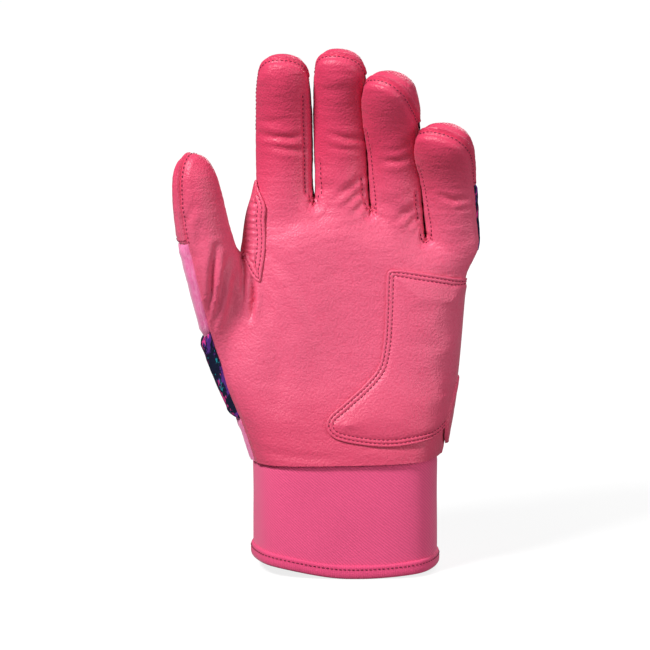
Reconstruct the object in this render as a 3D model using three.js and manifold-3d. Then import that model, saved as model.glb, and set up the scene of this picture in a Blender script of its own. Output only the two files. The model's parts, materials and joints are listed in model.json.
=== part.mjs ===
// A left-hand batting glove, worn open: leather palm and fingers, stretch back, pull-on cuff and wrist strap.
// Millimetres. +Z runs from the wrist to the fingertips, -Y is the palm side and -X the thumb side.
// The origin is the centre of the wrist opening, in the plane of the hem.
import * as THREE from "three";
import { mergeVertices } from "three/addons/utils/BufferGeometryUtils.js";
import Module from "manifold-3d";

const wasm = await Module();
wasm.setup();

// Materials' thickness and the clear gaps between pieces
const LEATHER = 1.2;
const STRETCH = 1.0;
const NEOPRENE = 2.0;
const BINDING = 0.9;
const SEAM = 0.4;
const WEB_GAP = 1.8;
const CLEAR = 0.35;

// Cuff, hem and the slit at the back of the wrist; angles run round the wrist from the little finger's side
const CUFF_DEPTH = 45;
const CUFF_HEIGHT = 49;
const CUFF_TUCK = 4;
const TUCK_START = 3;
const TUCK_TAPER = 1.4;
const HEM_HEIGHT = 6;
const SLIT_WIDTH = 9;
const SLIT_TIP = 1.6;
const SLIT_HEIGHT = 36;
const SLIT_X = 9;

// Closure strap across the back of the cuff: sewn on the little finger's side, free on the thumb's side
const STRAP_HEIGHT = 32;
const STRAP_BASE = 10;
const STRAP_THICK = 1.6;
const ANCHOR_FROM = 24;
const STRAP_FROM = 38;
const STRAP_TO = 142;
const TAB_TO = 151;
const END_GAP = 0.7;
const END_TAPER = 12;
const TAPER_FROM = 128;
const TAPER_OVER = 24;
const TAB_THICK = 1.0;
const PATCH_THICK = 1.1;
const PATCH_FROM = 104;
const PATCH_TO = 140;
const PATCH_MARGIN = 4;
const STRAP_LIFT = 6;

// Palm: its length runs from the wrist seam to the crotch beside the middle finger. Its rows are shares of
// that length, with the distance of each side from the middle line
const PALM_LENGTH = 106;
const WRIST_RISE = 2;
const PALM_DEPTH = 33;
const KNUCKLE_DEPTH = 26;
const KNUCKLE_SHIFT = 9.3;
const HOLLOW = 3;
const HOLLOW_SPREAD = 0.45;
const EDGE_ROUND = 2.4;
const ROWS = [0, 0.16, 0.36, 0.57, 0.8, 0.91];
const THUMB_SIDE = [41.2, 46.4, 57, 49, 43.5, 42];
const PINKY_SIDE = [40.8, 43.8, 46, 47.6, 48.8, 50.6];

// Fingers, from the thumb side: gap is to the finger before, drop is how far the crotch before it lies below
// the highest, lean is towards the thumb, pitch and bends are towards the palm, and twist turns the tip's front
// towards the thumb
const FINGERS = [
  { name: "index", width: 22.2, depth: 20.5, length: 67, gap: 5, drop: 2 },
  { name: "middle", width: 21.2, depth: 20.5, length: 70.5, gap: 2.6, drop: 0 },
  { name: "ring", width: 21, depth: 20, length: 73, gap: 1.8, drop: 3 },
  { name: "pinky", width: 21.4, depth: 19, length: 59.5, gap: 2.2, drop: 16 },
];
const CURLS = {
  index: { lean: 0, pitch: 3, bends: [14, 16], twist: 6 },
  middle: { lean: 1.5, pitch: 4, bends: [14, 18], twist: 8 },
  ring: { lean: 3.2, pitch: 8, bends: [18, 20], twist: 18 },
  pinky: { lean: 5, pitch: 12, bends: [20, 18], twist: 22 },
};
const LAST_GAP = 0;
const LAST_DROP = 19;
const FRONT_HALF_ANGLE = 58;
const ROOT_SWELL = 1.06;
const CROTCH_PINCH = 0.72;
const OUTER_WEB = 1.6;

// Thumb sections from its root to its tip: how far each middle lies out from the side of the palm, forward
// of the hand's middle plane and up from the middle of the root
const THUMB_SECTIONS = [
  { out: 6.3, forward: 9, up: 17, width: 29.5, depth: 27, tilt: 52 },
  { out: 10.6, forward: 12, up: 34.8, width: 24.3, depth: 23, tilt: 32 },
  { out: 12.4, forward: 15, up: 49.8, width: 21.2, depth: 20, tilt: 23 },
  { out: 14.6, forward: 18, up: 63.6, width: 17, depth: 15.5, tilt: 14 },
];
const THUMB_TIP = { out: 16.2, forward: 20, up: 74.6 };
const THUMB_ROOT_ROW = 2;
const PRINT_TOP = 50;
const THUMB_FORWARD = 12;
const THUMB_TWIST = 14;
const THUMB_FOLD = new THREE.Vector3(0.25, -0.97, 0).normalize();

// Reinforcements sewn on the palm, outlined clockwise as seen from the front. The pad's heights are from the
// wrist seam. The patch is set out from the crotch beside the index finger
const PAD_FOAM = 1.0;
const PAD_COVER = 1.0;
const PAD_BORDER = 5.2;
const PAD_EDGE = 0.8;
const PAD_OUTLINE = [
  [17.2, 80.5], [34, 79], [49.5, 77.5], [49.5, 59], [47.8, 39], [45.6, 18], [40.5, 11.2], [22.7, 7.8],
  [4, 9], [-7, 13], [-8.4, 18.5], [-2, 24.5], [8, 33.5], [13.4, 40], [15.4, 49], [16.4, 65],
];
const PATCH_LEATHER = 1.0;
const PATCH_EDGE = 1.0;
const PATCH_OUTLINE = [
  [-5.6, -4], [5.8, -4], [6.8, -13], [6, -24], [4.4, -32], [2.4, -26], [-0.6, -17], [-3.1, -11],
];

const COLOURS = {
  leather: { color: 0xe8476f, roughness: 0.55 },
  stretch: { color: 0xea5fa0, roughness: 0.8 },
  print: { color: 0x1c2440, roughness: 0.8 },
  gusset: { color: 0xc72c57, roughness: 0.8 },
  cuff: { color: 0xe83e74, roughness: 0.75 },
  binding: { color: 0xdc2f66, roughness: 0.7 },
  foam: { color: 0xf1e9da, roughness: 0.95 },
  hook: { color: 0xb52350, roughness: 0.9 },
  rubber: { color: 0xd92a63, roughness: 0.5 },
};

const { lerp, smoothstep, degToRad, clamp } = THREE.MathUtils;
const glove = new THREE.Group();
const wristSeam = CUFF_HEIGHT;
const fingerCrotch = CUFF_HEIGHT + PALM_LENGTH;

// Control cage: points and four-sided patches, each belonging to a sewn panel
class Form {
  points = [];
  quads = [];

  point(x, y, z) {
    this.points.push(new THREE.Vector3(x, y, z));
    return this.points.length - 1;
  }

  // Skins two rings of equal length; panelOf names each column's panel, or null for a hole
  band(lower, upper, panelOf) {
    const count = lower.length;
    for (let i = 0; i < count; i++) {
      const next = (i + 1) % count;
      const panel = panelOf(i);
      if (panel) this.quads.push({ panel, corners: [lower[i], lower[next], upper[next], upper[i]] });
    }
  }

  // Closes a ring of eight with four patches round a centre point
  cap(ring, centre, frontPanel, backPanel) {
    const [fl, fm, fr, wr, br, bm, bl, wl] = ring;
    this.quads.push({ panel: frontPanel, corners: [fl, fm, centre, wl] });
    this.quads.push({ panel: frontPanel, corners: [fm, fr, wr, centre] });
    this.quads.push({ panel: backPanel, corners: [centre, wr, br, bm] });
    this.quads.push({ panel: backPanel, corners: [wl, centre, bm, bl] });
  }

  edges() {
    const found = new Map();
    this.quads.forEach((quad, face) => {
      quad.corners.forEach((a, i) => {
        const b = quad.corners[(i + 1) % 4];
        const key = a < b ? `${a}_${b}` : `${b}_${a}`;
        if (!found.has(key)) found.set(key, { ends: [a, b], faces: [] });
        found.get(key).faces.push(face);
      });
    });
    return found;
  }

  // Each point's neighbours along edges, across patches, and along the open border
  neighbours() {
    const list = this.points.map(() => ({ edge: [], across: [], border: [] }));
    for (const { ends, faces } of this.edges().values()) {
      for (const [a, b] of [ends, [ends[1], ends[0]]]) {
        list[a].edge.push(b);
        if (faces.length === 1) list[a].border.push(b);
      }
    }
    for (const { corners } of this.quads) {
      corners.forEach((a, i) => list[a].across.push(corners[(i + 2) % 4]));
    }
    return list;
  }
}

const sum = (points, indices) => indices.reduce((total, i) => total.add(points[i]), new THREE.Vector3());

// One round of Catmull-Clark subdivision, which keeps each patch's panel
function subdivide(form) {
  const fine = new Form();
  const around = form.neighbours();
  const edges = form.edges();
  const facePoints = form.quads.map(({ corners }) => sum(form.points, corners).multiplyScalar(0.25));
  form.points.forEach((point, i) => {
    const { edge, border } = around[i];
    const moved = new THREE.Vector3();
    if (border.length) {
      moved.copy(point).multiplyScalar(6).add(sum(form.points, border)).multiplyScalar(1 / 8);
    } else {
      const n = edge.length;
      const faces = form.quads.flatMap(({ corners }, face) => (corners.includes(i) ? [face] : []));
      const faceMean = sum(facePoints, faces).multiplyScalar(1 / n);
      const edgeMean = sum(form.points, edge).multiplyScalar(1 / n).add(point).multiplyScalar(0.5);
      moved.copy(point).multiplyScalar(n - 3).add(faceMean).addScaledVector(edgeMean, 2);
      moved.multiplyScalar(1 / n);
    }
    fine.points.push(moved);
  });
  const faceIds = facePoints.map((p) => fine.point(p.x, p.y, p.z));
  const edgeIds = new Map();
  for (const [key, { ends, faces }] of edges) {
    const middle = sum(form.points, ends);
    if (faces.length === 2) middle.add(sum(facePoints, faces));
    middle.multiplyScalar(1 / (ends.length + (faces.length === 2 ? 2 : 0)));
    edgeIds.set(key, fine.point(middle.x, middle.y, middle.z));
  }
  const edgeId = (a, b) => edgeIds.get(a < b ? `${a}_${b}` : `${b}_${a}`);
  form.quads.forEach(({ panel, corners }, face) => {
    corners.forEach((corner, i) => {
      const after = edgeId(corner, corners[(i + 1) % 4]);
      const before = edgeId(corners[(i + 3) % 4], corner);
      fine.quads.push({ panel, corners: [corner, after, faceIds[face], before] });
    });
  });
  return fine;
}

// Moves every point to where endless subdivision would take it, and gives each one its normal
function settle(form) {
  const around = form.neighbours();
  const moved = form.points.map((point, i) => {
    const { edge, across, border } = around[i];
    const total = point.clone();
    if (border.length) return total.multiplyScalar(4).add(sum(form.points, border)).multiplyScalar(1 / 6);
    const n = edge.length;
    total.multiplyScalar(n * n);
    total.addScaledVector(sum(form.points, edge), 4).add(sum(form.points, across));
    return total.multiplyScalar(1 / (n * (n + 5)));
  });
  form.points = moved;
  form.normals = moved.map(() => new THREE.Vector3());
  for (const { corners } of form.quads) {
    const [a, b, c, d] = corners.map((i) => moved[i]);
    const normal = c.clone().sub(a).cross(d.clone().sub(b));
    for (const i of corners) form.normals[i].add(normal);
  }
  form.normals.forEach((normal) => normal.normalize());
  form.webs = webPoints(form);
  return form;
}

const fingerOf = (panel) => FINGERS.find(({ name }) => panel.startsWith(name));

// Points where two fingers meet: their panels stand further apart there, so that each finger folds by itself
function webPoints(form) {
  const fingersAt = form.points.map(() => new Set());
  for (const { panel, corners } of form.quads) {
    const finger = fingerOf(panel);
    if (finger) corners.forEach((i) => fingersAt[i].add(finger.name));
  }
  return fingersAt.map((fingers) => fingers.size > 1);
}

// A closed shell from the patches of one panel: it lies between two offsets from the form's surface, and its
// outline stands back from its neighbours by half a seam
function shell(form, wanted, outer, inner, setback = SEAM / 2) {
  const quads = form.quads.filter(({ panel }) => panel === wanted);
  const finger = fingerOf(wanted);
  const border = new Map();
  for (const { corners } of quads) {
    corners.forEach((a, i) => {
      const b = corners[(i + 1) % 4];
      if (border.has(`${b}_${a}`)) border.delete(`${b}_${a}`);
      else border.set(`${a}_${b}`, [a, b]);
    });
  }
  const inward = new Map();
  for (const [a, b] of border.values()) {
    const along = form.points[b].clone().sub(form.points[a]).normalize();
    for (const end of [a, b]) {
      if (!inward.has(end)) inward.set(end, []);
      inward.get(end).push(form.normals[end].clone().cross(along).normalize());
    }
  }
  const ids = new Map();
  const positions = [];
  const place = (i) => {
    if (ids.has(i)) return ids.get(i);
    const point = form.points[i].clone();
    const sides = inward.get(i);
    if (sides) {
      const mitre = sides.reduce((total, side) => total.add(side), new THREE.Vector3()).normalize();
      point.addScaledVector(mitre, setback / Math.max(0.5, mitre.dot(sides[0])));
      if (finger && form.webs[i]) point.x += (Math.sign(finger.middle - form.points[i].x) * WEB_GAP) / 2;
    }
    const pair = [positions.length / 3, positions.length / 3 + 1];
    positions.push(...point.clone().addScaledVector(form.normals[i], outer));
    positions.push(...point.clone().addScaledVector(form.normals[i], inner));
    ids.set(i, pair);
    return pair;
  };
  const triangles = [];
  for (const { corners } of quads) {
    const [a, b, c, d] = corners.map(place);
    triangles.push(a[0], b[0], c[0], a[0], c[0], d[0]);
    triangles.push(a[1], c[1], b[1], a[1], d[1], c[1]);
  }
  for (const ends of border.values()) {
    const [a, b] = ends.map(place);
    triangles.push(b[0], a[0], a[1], b[0], a[1], b[1]);
  }
  const geometry = new THREE.BufferGeometry();
  geometry.setAttribute("position", new THREE.Float32BufferAttribute(positions, 3));
  geometry.setIndex(triangles);
  return geometry;
}

function toSolid(geometry) {
  const bare = geometry.clone();
  bare.deleteAttribute("normal");
  bare.deleteAttribute("uv");
  const merged = mergeVertices(bare, 1e-4);
  return new wasm.Manifold(
    new wasm.Mesh({
      numProp: 3,
      vertProperties: merged.attributes.position.array,
      triVerts: new Uint32Array(merged.index.array),
    }),
  );
}

// Cut solids lose slivers that are thinner than this
const SLIVER = 0.06;

function toGeometry(solid) {
  const { vertProperties, triVerts, numProp } = solid.simplify(SLIVER).getMesh();
  const geometry = new THREE.BufferGeometry();
  const buffer = new THREE.InterleavedBuffer(new Float32Array(vertProperties), numProp);
  geometry.setAttribute("position", new THREE.InterleavedBufferAttribute(buffer, 3, 0));
  geometry.setIndex([...triVerts]);
  return geometry.toNonIndexed();
}

function addPiece(parent, name, geometry, look) {
  const material = new THREE.MeshStandardMaterial({ metalness: 0, ...COLOURS[look] });
  const mesh = new THREE.Mesh(geometry, material);
  mesh.name = name;
  mesh.geometry.translate(-parent.position.x, -parent.position.y, -parent.position.z);
  parent.add(mesh);
}

function addBody(position) {
  const body = new THREE.Group();
  body.position.copy(position);
  glove.add(body);
  return body;
}

// Layout across the knuckles: each finger's middle, and the crotch on each of its sides
const knuckleWidth = FINGERS.reduce((total, { width, gap }) => total + width + gap, -FINGERS[0].gap);
let edge = KNUCKLE_SHIFT - knuckleWidth / 2 - FINGERS[0].gap;
for (const finger of FINGERS) {
  Object.assign(finger, CURLS[finger.name]);
  finger.left = edge + finger.gap / 2;
  finger.middle = edge + finger.gap + finger.width / 2;
  edge += finger.gap + finger.width;
}
const crotchX = [...FINGERS.map(({ left }) => left), edge + LAST_GAP / 2];
const crotchDrop = [...FINGERS.map(({ drop }) => drop), LAST_DROP];

// Eight points round a finger or the thumb, as shares of its half width and half depth, front first
const RING_SHRINK = 2 / 3 + Math.SQRT1_2 / 3;
const frontSide = Math.sin(degToRad(FRONT_HALF_ANGLE));
const frontFace = Math.cos(degToRad(FRONT_HALF_ANGLE));
const RING = [
  [-frontSide, frontFace], [0, 1], [frontSide, frontFace], [1, 0],
  [Math.SQRT1_2, -Math.SQRT1_2], [0, -1], [-Math.SQRT1_2, -Math.SQRT1_2], [-1, 0],
].map(([across, front]) => [across / RING_SHRINK, front / RING_SHRINK]);

function ringOf(form, centre, across, front, halfWidth, halfDepth) {
  return RING.map(([u, v]) => {
    const p = centre.clone().addScaledVector(across, u * halfWidth).addScaledVector(front, v * halfDepth);
    return form.point(p.x, p.y, p.z);
  });
}

// Palm rings: nine points across the front, one at each side and nine across the back
const COLUMNS = 9;
const SECTION_POWER = 2.6;
const SIDE_SHARE = 0.94;
const FULLNESS = 1.03;
const WRIST_SPREAD = 1.35;
const HEEL_FROM = 0.03;
const MID_PALM = 0.5;

function columnSpot(column) {
  const finger = column >> 1;
  const onCrotch = column % 2 === 0;
  const x = onCrotch ? crotchX[finger] : FINGERS[finger].middle;
  const drop = onCrotch ? crotchDrop[finger] : (crotchDrop[finger] + crotchDrop[finger + 1]) / 2;
  return { x, z: fingerCrotch - drop };
}

function palmPoint(form, column, row, side) {
  const share = ROWS[row];
  const top = columnSpot(column);
  const u = (column - (COLUMNS - 1) / 2) / ((COLUMNS - 1) / 2);
  const atWrist = (1 + Math.sin(u * WRIST_SPREAD) / Math.sin(WRIST_SPREAD)) / 2;
  const atKnuckles = (top.x - crotchX[0]) / (crotchX[FINGERS.length] - crotchX[0]);
  const across = lerp(atWrist, atKnuckles, smoothstep(share, 0, 1));
  const x = lerp(EDGE_ROUND - THUMB_SIDE[row], PINKY_SIDE[row] - EDGE_ROUND, across);
  const z = lerp(wristSeam + (WRIST_RISE * u) / 2, top.z, share);
  const wristDepth = CUFF_DEPTH / 2 + LEATHER + CLEAR;
  const depth = share < MID_PALM
    ? lerp(wristDepth, PALM_DEPTH / 2, smoothstep(share, HEEL_FROM, MID_PALM))
    : lerp(PALM_DEPTH / 2, KNUCKLE_DEPTH / 2, smoothstep(share, MID_PALM, 1));
  const roundness = (1 - Math.abs(u * SIDE_SHARE) ** SECTION_POWER) ** (1 / SECTION_POWER);
  const dip = HOLLOW * Math.sin(Math.PI * share) * Math.exp(-((u / HOLLOW_SPREAD) ** 2));
  const hollow = side < 0 ? dip : 0;
  return form.point(x, side * (depth * roundness * FULLNESS - hollow), z);
}

function palmRing(form, row) {
  const front = [];
  const back = [];
  for (let column = 0; column < COLUMNS; column++) {
    front.push(palmPoint(form, column, row, -1));
    back.push(palmPoint(form, column, row, 1));
  }
  const beside = (column, x) => {
    const a = form.points[front[column]];
    const b = form.points[back[column]];
    return form.point(x, (a.y + b.y) / 2, (a.z + b.z) / 2);
  };
  const left = beside(0, -THUMB_SIDE[row] - EDGE_ROUND / 3);
  const right = beside(COLUMNS - 1, PINKY_SIDE[row] + EDGE_ROUND / 3);
  return { front, back, left, right };
}

const loop = ({ front, back, left, right }) => [...front, right, ...[...back].reverse(), left];

// Finger roots: the last palm ring, with a web from front to back at every crotch
function fingerRoots(form) {
  const halfDepth = (finger) => FINGERS[Math.min(finger, FINGERS.length - 1)].depth / 2;
  const row = (side) => Array.from({ length: COLUMNS }, (_, column) => {
    const { x, z } = columnSpot(column);
    const reach = halfDepth(column >> 1) * (column % 2 ? ROOT_SWELL : CROTCH_PINCH);
    return form.point(x, side * reach, z);
  });
  const front = row(-1);
  const back = row(1);
  const webs = crotchX.map((x, i) => {
    return form.point(i === 0 ? x - OUTER_WEB : x, 0, fingerCrotch - crotchDrop[i]);
  });
  return { front, back, webs, left: webs[0], right: webs[FINGERS.length] };
}

// A finger's middle line curls towards the palm at its two knuckles
const STATIONS = [0.11, 0.29, 0.48, 0.67, 0.85, 0.965];
const WIDTHS = [0.99, 1.0, 1.0, 0.98, 0.94, 0.74];
const TIP = 1.03;
const TIP_ROLL = 2.4;
const STRETCH_ROWS = 3;
const GUSSET_ROWS = 5;
const KNUCKLES = [[0.3, 0.6], [0.6, 0.9]];
const TWIST_END = 0.7;
const LINE_STEPS = 40;

function fingerPitch(finger, share) {
  const bent = KNUCKLES.map(([from, to], i) => finger.bends[i] * smoothstep(share, from, to));
  return degToRad(finger.pitch + bent[0] + bent[1]);
}

function fingerLine(finger, share) {
  const z = fingerCrotch - (finger.drop + crotchDrop[FINGERS.indexOf(finger) + 1]) / 2;
  const at = new THREE.Vector3(finger.middle, 0, z);
  const lean = degToRad(finger.lean);
  for (let i = 0; i < LINE_STEPS; i++) {
    const pitch = fingerPitch(finger, (share * (i + 0.5)) / LINE_STEPS);
    const step = (finger.length * share) / LINE_STEPS;
    at.x -= Math.cos(pitch) * Math.sin(lean) * step;
    at.y -= Math.sin(pitch) * step;
    at.z += Math.cos(pitch) * Math.cos(lean) * step;
  }
  return at;
}

function buildFinger(form, finger, i, roots) {
  const { front, back, webs } = roots;
  const c = 2 * i;
  const isFirst = i === 0;
  const isLast = i === FINGERS.length - 1;
  const name = finger.name;
  let ring = [front[c], front[c + 1], front[c + 2], webs[i + 1], back[c + 2], back[c + 1], back[c], webs[i]];
  const lean = degToRad(finger.lean);
  const level = new THREE.Vector3(Math.cos(lean), 0, Math.sin(lean));
  const panelOf = (row) => (column) => {
    const backing = row < STRETCH_ROWS ? `${name}_back_stretch` : `${name}_back_cap`;
    if (column < 3 || column === 7) return `${name}_front`;
    if (column === 3 && !isLast && row < GUSSET_ROWS) return `${name}_fourchette_outer`;
    if (column === 6 && !isFirst && row < GUSSET_ROWS) return `${name}_fourchette_inner`;
    return backing;
  };
  let facing;
  STATIONS.forEach((share, row) => {
    const pitch = fingerPitch(finger, share);
    const sink = Math.sin(pitch);
    const ahead = new THREE.Vector3(sink * Math.sin(lean), -Math.cos(pitch), -sink * Math.cos(lean));
    const twist = degToRad(finger.twist * smoothstep(share, 0, TWIST_END));
    const across = level.clone().multiplyScalar(Math.cos(twist)).addScaledVector(ahead, Math.sin(twist));
    facing = ahead.clone().multiplyScalar(Math.cos(twist)).addScaledVector(level, -Math.sin(twist));
    const halfWidth = (finger.width / 2) * WIDTHS[row];
    const halfDepth = (finger.depth / 2) * WIDTHS[row];
    const upper = ringOf(form, fingerLine(finger, share), across, facing, halfWidth, halfDepth);
    form.band(ring, upper, panelOf(row));
    ring = upper;
  });
  const tip = fingerLine(finger, TIP).addScaledVector(facing, TIP_ROLL);
  form.cap(ring, form.point(tip.x, tip.y, tip.z), `${name}_front`, `${name}_back_cap`);
}

// Thumb: leaves the thumb side of the palm through a gap of two rows and turns up along its own line
function thumbSpot({ out, forward, up }) {
  const middle = THUMB_ROOT_ROW + 1;
  return new THREE.Vector3(-THUMB_SIDE[middle] - out, -forward, wristSeam + PALM_LENGTH * ROWS[middle] + up);
}

function buildThumb(form, rings) {
  const [low, mid, high] = rings.slice(THUMB_ROOT_ROW, THUMB_ROOT_ROW + 3);
  let ring = [
    low.front[0], mid.front[0], high.front[0], high.left, high.back[0], mid.back[0], low.back[0], low.left,
  ];
  const twist = degToRad(THUMB_TWIST);
  const forward = Math.sin(degToRad(THUMB_FORWARD));
  THUMB_SECTIONS.forEach((section, row) => {
    const lean = degToRad(section.tilt);
    const flat = new THREE.Vector3(Math.cos(lean), 0, Math.sin(lean));
    const upward = new THREE.Vector3(-Math.sin(lean), -forward, Math.cos(lean)).normalize();
    const ahead = flat.clone().cross(upward).normalize();
    const across = flat.clone().multiplyScalar(Math.cos(twist)).addScaledVector(ahead, -Math.sin(twist));
    const facing = ahead.clone().multiplyScalar(Math.cos(twist)).addScaledVector(flat, Math.sin(twist));
    const upper = ringOf(form, thumbSpot(section), across, facing, section.width / 2, section.depth / 2);
    form.band(ring, upper, (column) => {
      if (column < 4) return row === 0 ? "palm_leather" : "thumb_front";
      if (row === 0) return "thumb_stretch_lower";
      return row === 1 ? "thumb_stretch_upper" : "thumb_back_cap";
    });
    ring = upper;
  });
  const tip = form.point(...thumbSpot(THUMB_TIP));
  form.cap(ring, tip, "thumb_front", "thumb_back_cap");
}

// Which sewn panel covers each palm patch: columns 0 to 8 are the front, 9 to 18 the back, and 18 and 19 the
// thumb's side
function palmPanel(row, column) {
  const atThumb = row === THUMB_ROOT_ROW || row === THUMB_ROOT_ROW + 1;
  if (column >= 18 && atThumb) return null;
  if (column <= 8) return "palm_leather";
  if (column === 19 && row > THUMB_ROOT_ROW) return "palm_leather";
  if (column >= 9 && column <= 10 && row < 2) return "ulnar_panel";
  if (column >= 17 && row === 0) return "radial_gusset";
  return "back_panel";
}

// Below the thumb the printed back comes forward to the palm, up to a line at its own height over the wrist seam
function lowerStretch(form) {
  for (const quad of form.quads) {
    const z = quad.corners.reduce((total, i) => total + form.points[i].z, 0) / quad.corners.length;
    if (quad.panel === "thumb_stretch_lower" && z < wristSeam + PRINT_TOP) quad.panel = "back_panel";
  }
  return form;
}

function buildForm() {
  const form = new Form();
  const rings = ROWS.map((_, row) => palmRing(form, row));
  const roots = fingerRoots(form);
  [...rings, roots].slice(1).forEach((ring, row) => {
    form.band(loop(rings[row]), loop(ring), (column) => palmPanel(row, column));
  });
  FINGERS.forEach((finger, i) => buildFinger(form, finger, i, roots));
  buildThumb(form, rings);
  return settle(lowerStretch(subdivide(form)));
}

// Points of the form that two sets of panels share, which is where one body turns on another
function sharedPoints(form, panelsA, panelsB) {
  const used = (panels) => new Set(form.quads.flatMap((q) => (panels.includes(q.panel) ? q.corners : [])));
  const b = used(panelsB);
  return [...used(panelsA)].filter((i) => b.has(i)).map((i) => form.points[i]);
}

const form = buildForm();

function skin(panel, thick, look, parent = glove) {
  addPiece(parent, panel, shell(form, panel, 0, -thick), look);
}

// Hand: palm leather, printed back, side panels
skin("palm_leather", LEATHER, "leather");
skin("back_panel", STRETCH, "print");
skin("radial_gusset", STRETCH, "stretch");
skin("ulnar_panel", LEATHER, "leather");
skin("thumb_stretch_lower", STRETCH, "stretch");

// Fingers fold about the crease across their roots, which lies on the palm side
FINGERS.forEach(({ name }, i) => {
  const crease = sharedPoints(form, [`${name}_front`], ["palm_leather"]);
  const foremost = crease.reduce((best, p) => (p.y < best.y ? p : best));
  const body = addBody(foremost);
  skin(`${name}_front`, LEATHER, "leather", body);
  skin(`${name}_back_stretch`, STRETCH, "print", body);
  skin(`${name}_back_cap`, LEATHER, "leather", body);
  if (i > 0) skin(`${name}_fourchette_inner`, STRETCH, "gusset", body);
  if (i < FINGERS.length - 1) skin(`${name}_fourchette_outer`, STRETCH, "gusset", body);
});

// Thumb folds forwards about the crease at the front of its root
const thumbCrease = sharedPoints(form, ["thumb_front"], ["palm_leather"]);
const thumbHinge = thumbCrease.reduce((best, p) => (p.dot(THUMB_FOLD) > best.dot(THUMB_FOLD) ? p : best));
const thumbBody = addBody(thumbHinge);
skin("thumb_front", LEATHER, "leather", thumbBody);
skin("thumb_stretch_upper", STRETCH, "stretch", thumbBody);
skin("thumb_back_cap", LEATHER, "leather", thumbBody);

// Pads sewn over the palm: layers of the palm's own surface, cut to an outline seen from the front
const OUTLINE_STEPS = 96;
const OUTLINE_SLACK = 0.02;
const PRISM_REACH = 2 * PALM_DEPTH;

function distanceToLine(point, line) {
  const nearest = new THREE.Vector3();
  const gaps = line.map((from, i) => {
    const side = new THREE.Line3(from, line[(i + 1) % line.length]);
    return side.closestPointToPoint(point, true, nearest).distanceTo(point);
  });
  return Math.min(...gaps);
}

// Draws a clockwise outline in by an inset, without the points that fall too near its other side
function drawIn(line, inset) {
  const moved = line.map((point, i) => {
    const before = line[(i + line.length - 1) % line.length];
    const along = line[(i + 1) % line.length].clone().sub(before).normalize();
    return point.clone().add(new THREE.Vector3(along.y, -along.x, 0).multiplyScalar(inset));
  });
  return moved.filter((point) => distanceToLine(point, line) > inset - OUTLINE_SLACK);
}

// A prism towards the palm side; the outline is set out from a spot (X, Z)
function prism(outline, spot, inset) {
  const corners = outline.map(([x, z]) => new THREE.Vector3(spot.x + x, spot.z + z, 0));
  const curve = new THREE.CatmullRomCurve3(corners, true, "centripetal");
  const line = drawIn(curve.getSpacedPoints(OUTLINE_STEPS).slice(0, -1), inset);
  const shape = new THREE.Shape(line.map(({ x, y }) => new THREE.Vector2(x, y)));
  const geometry = new THREE.ExtrudeGeometry(shape, { depth: PRISM_REACH, bevelEnabled: false });
  return toSolid(geometry.rotateX(Math.PI / 2));
}

const palmLayer = (outer, inner, setback) => toSolid(shell(form, "palm_leather", outer, inner, setback));
const padPrism = (inset) => prism(PAD_OUTLINE, { x: 0, z: wristSeam }, inset);
const foamTop = CLEAR + PAD_FOAM;
const coverTop = foamTop + CLEAR + PAD_COVER;
const foam = palmLayer(foamTop, CLEAR, PAD_EDGE).intersect(padPrism(PAD_BORDER));
const pocket = palmLayer(foamTop + CLEAR, 0, PAD_EDGE).intersect(padPrism(PAD_BORDER - CLEAR));
const border = palmLayer(CLEAR + PAD_COVER, CLEAR, PAD_EDGE).intersect(padPrism(0));
const crown = palmLayer(coverTop, CLEAR, PAD_EDGE).intersect(padPrism(PAD_BORDER - PAD_COVER));
addPiece(glove, "heel_pad_foam", toGeometry(foam), "foam");
addPiece(glove, "heel_pad_cover", toGeometry(border.add(crown).subtract(pocket)), "leather");
const patchPrism = prism(PATCH_OUTLINE, { x: crotchX[0], z: fingerCrotch - FINGERS[0].drop }, 0);
const patch = palmLayer(CLEAR + PATCH_LEATHER, CLEAR, PATCH_EDGE).intersect(patchPrism);
addPiece(glove, "crotch_patch", toGeometry(patch), "leather");

// Wrist outline: the open border of the form, drawn in by the leather that lies over the cuff
const WRIST_POINTS = 72;
const BEARING_STEPS = 720;
const CUFF_OUT = -(LEATHER + CLEAR);
const bearing = ({ x, y }) => Math.atan2(y, x);

function wristCurve() {
  const around = form.neighbours();
  const rim = form.points.filter((_, i) => around[i].border.length);
  rim.sort((a, b) => bearing(a) - bearing(b));
  const level = rim.map(({ x, y }) => new THREE.Vector3(x, y, 0));
  return new THREE.CatmullRomCurve3(level, true, "centripetal");
}

const wrist = wristCurve();
const wristShares = Array.from({ length: BEARING_STEPS }, (_, i) => i / BEARING_STEPS);
const wristBearings = wristShares.map((share) => bearing(wrist.getPointAt(share)));

function wristPoint(share, out, z) {
  const along = wrist.getTangentAt(share);
  const outward = new THREE.Vector3(along.y, -along.x, 0);
  return wrist.getPointAt(share).addScaledVector(outward, CUFF_OUT + out).setZ(z);
}

function wristShareAt(degrees) {
  const aim = degToRad(degrees);
  const nearest = wristBearings.reduce((best, b, i) => (
    Math.abs(b - aim) < Math.abs(wristBearings[best] - aim) ? i : best), 0);
  return wristShares[nearest];
}

function wristRing(out, z) {
  return Array.from({ length: WRIST_POINTS }, (_, i) => wristPoint(i / WRIST_POINTS, out, z));
}

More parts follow.
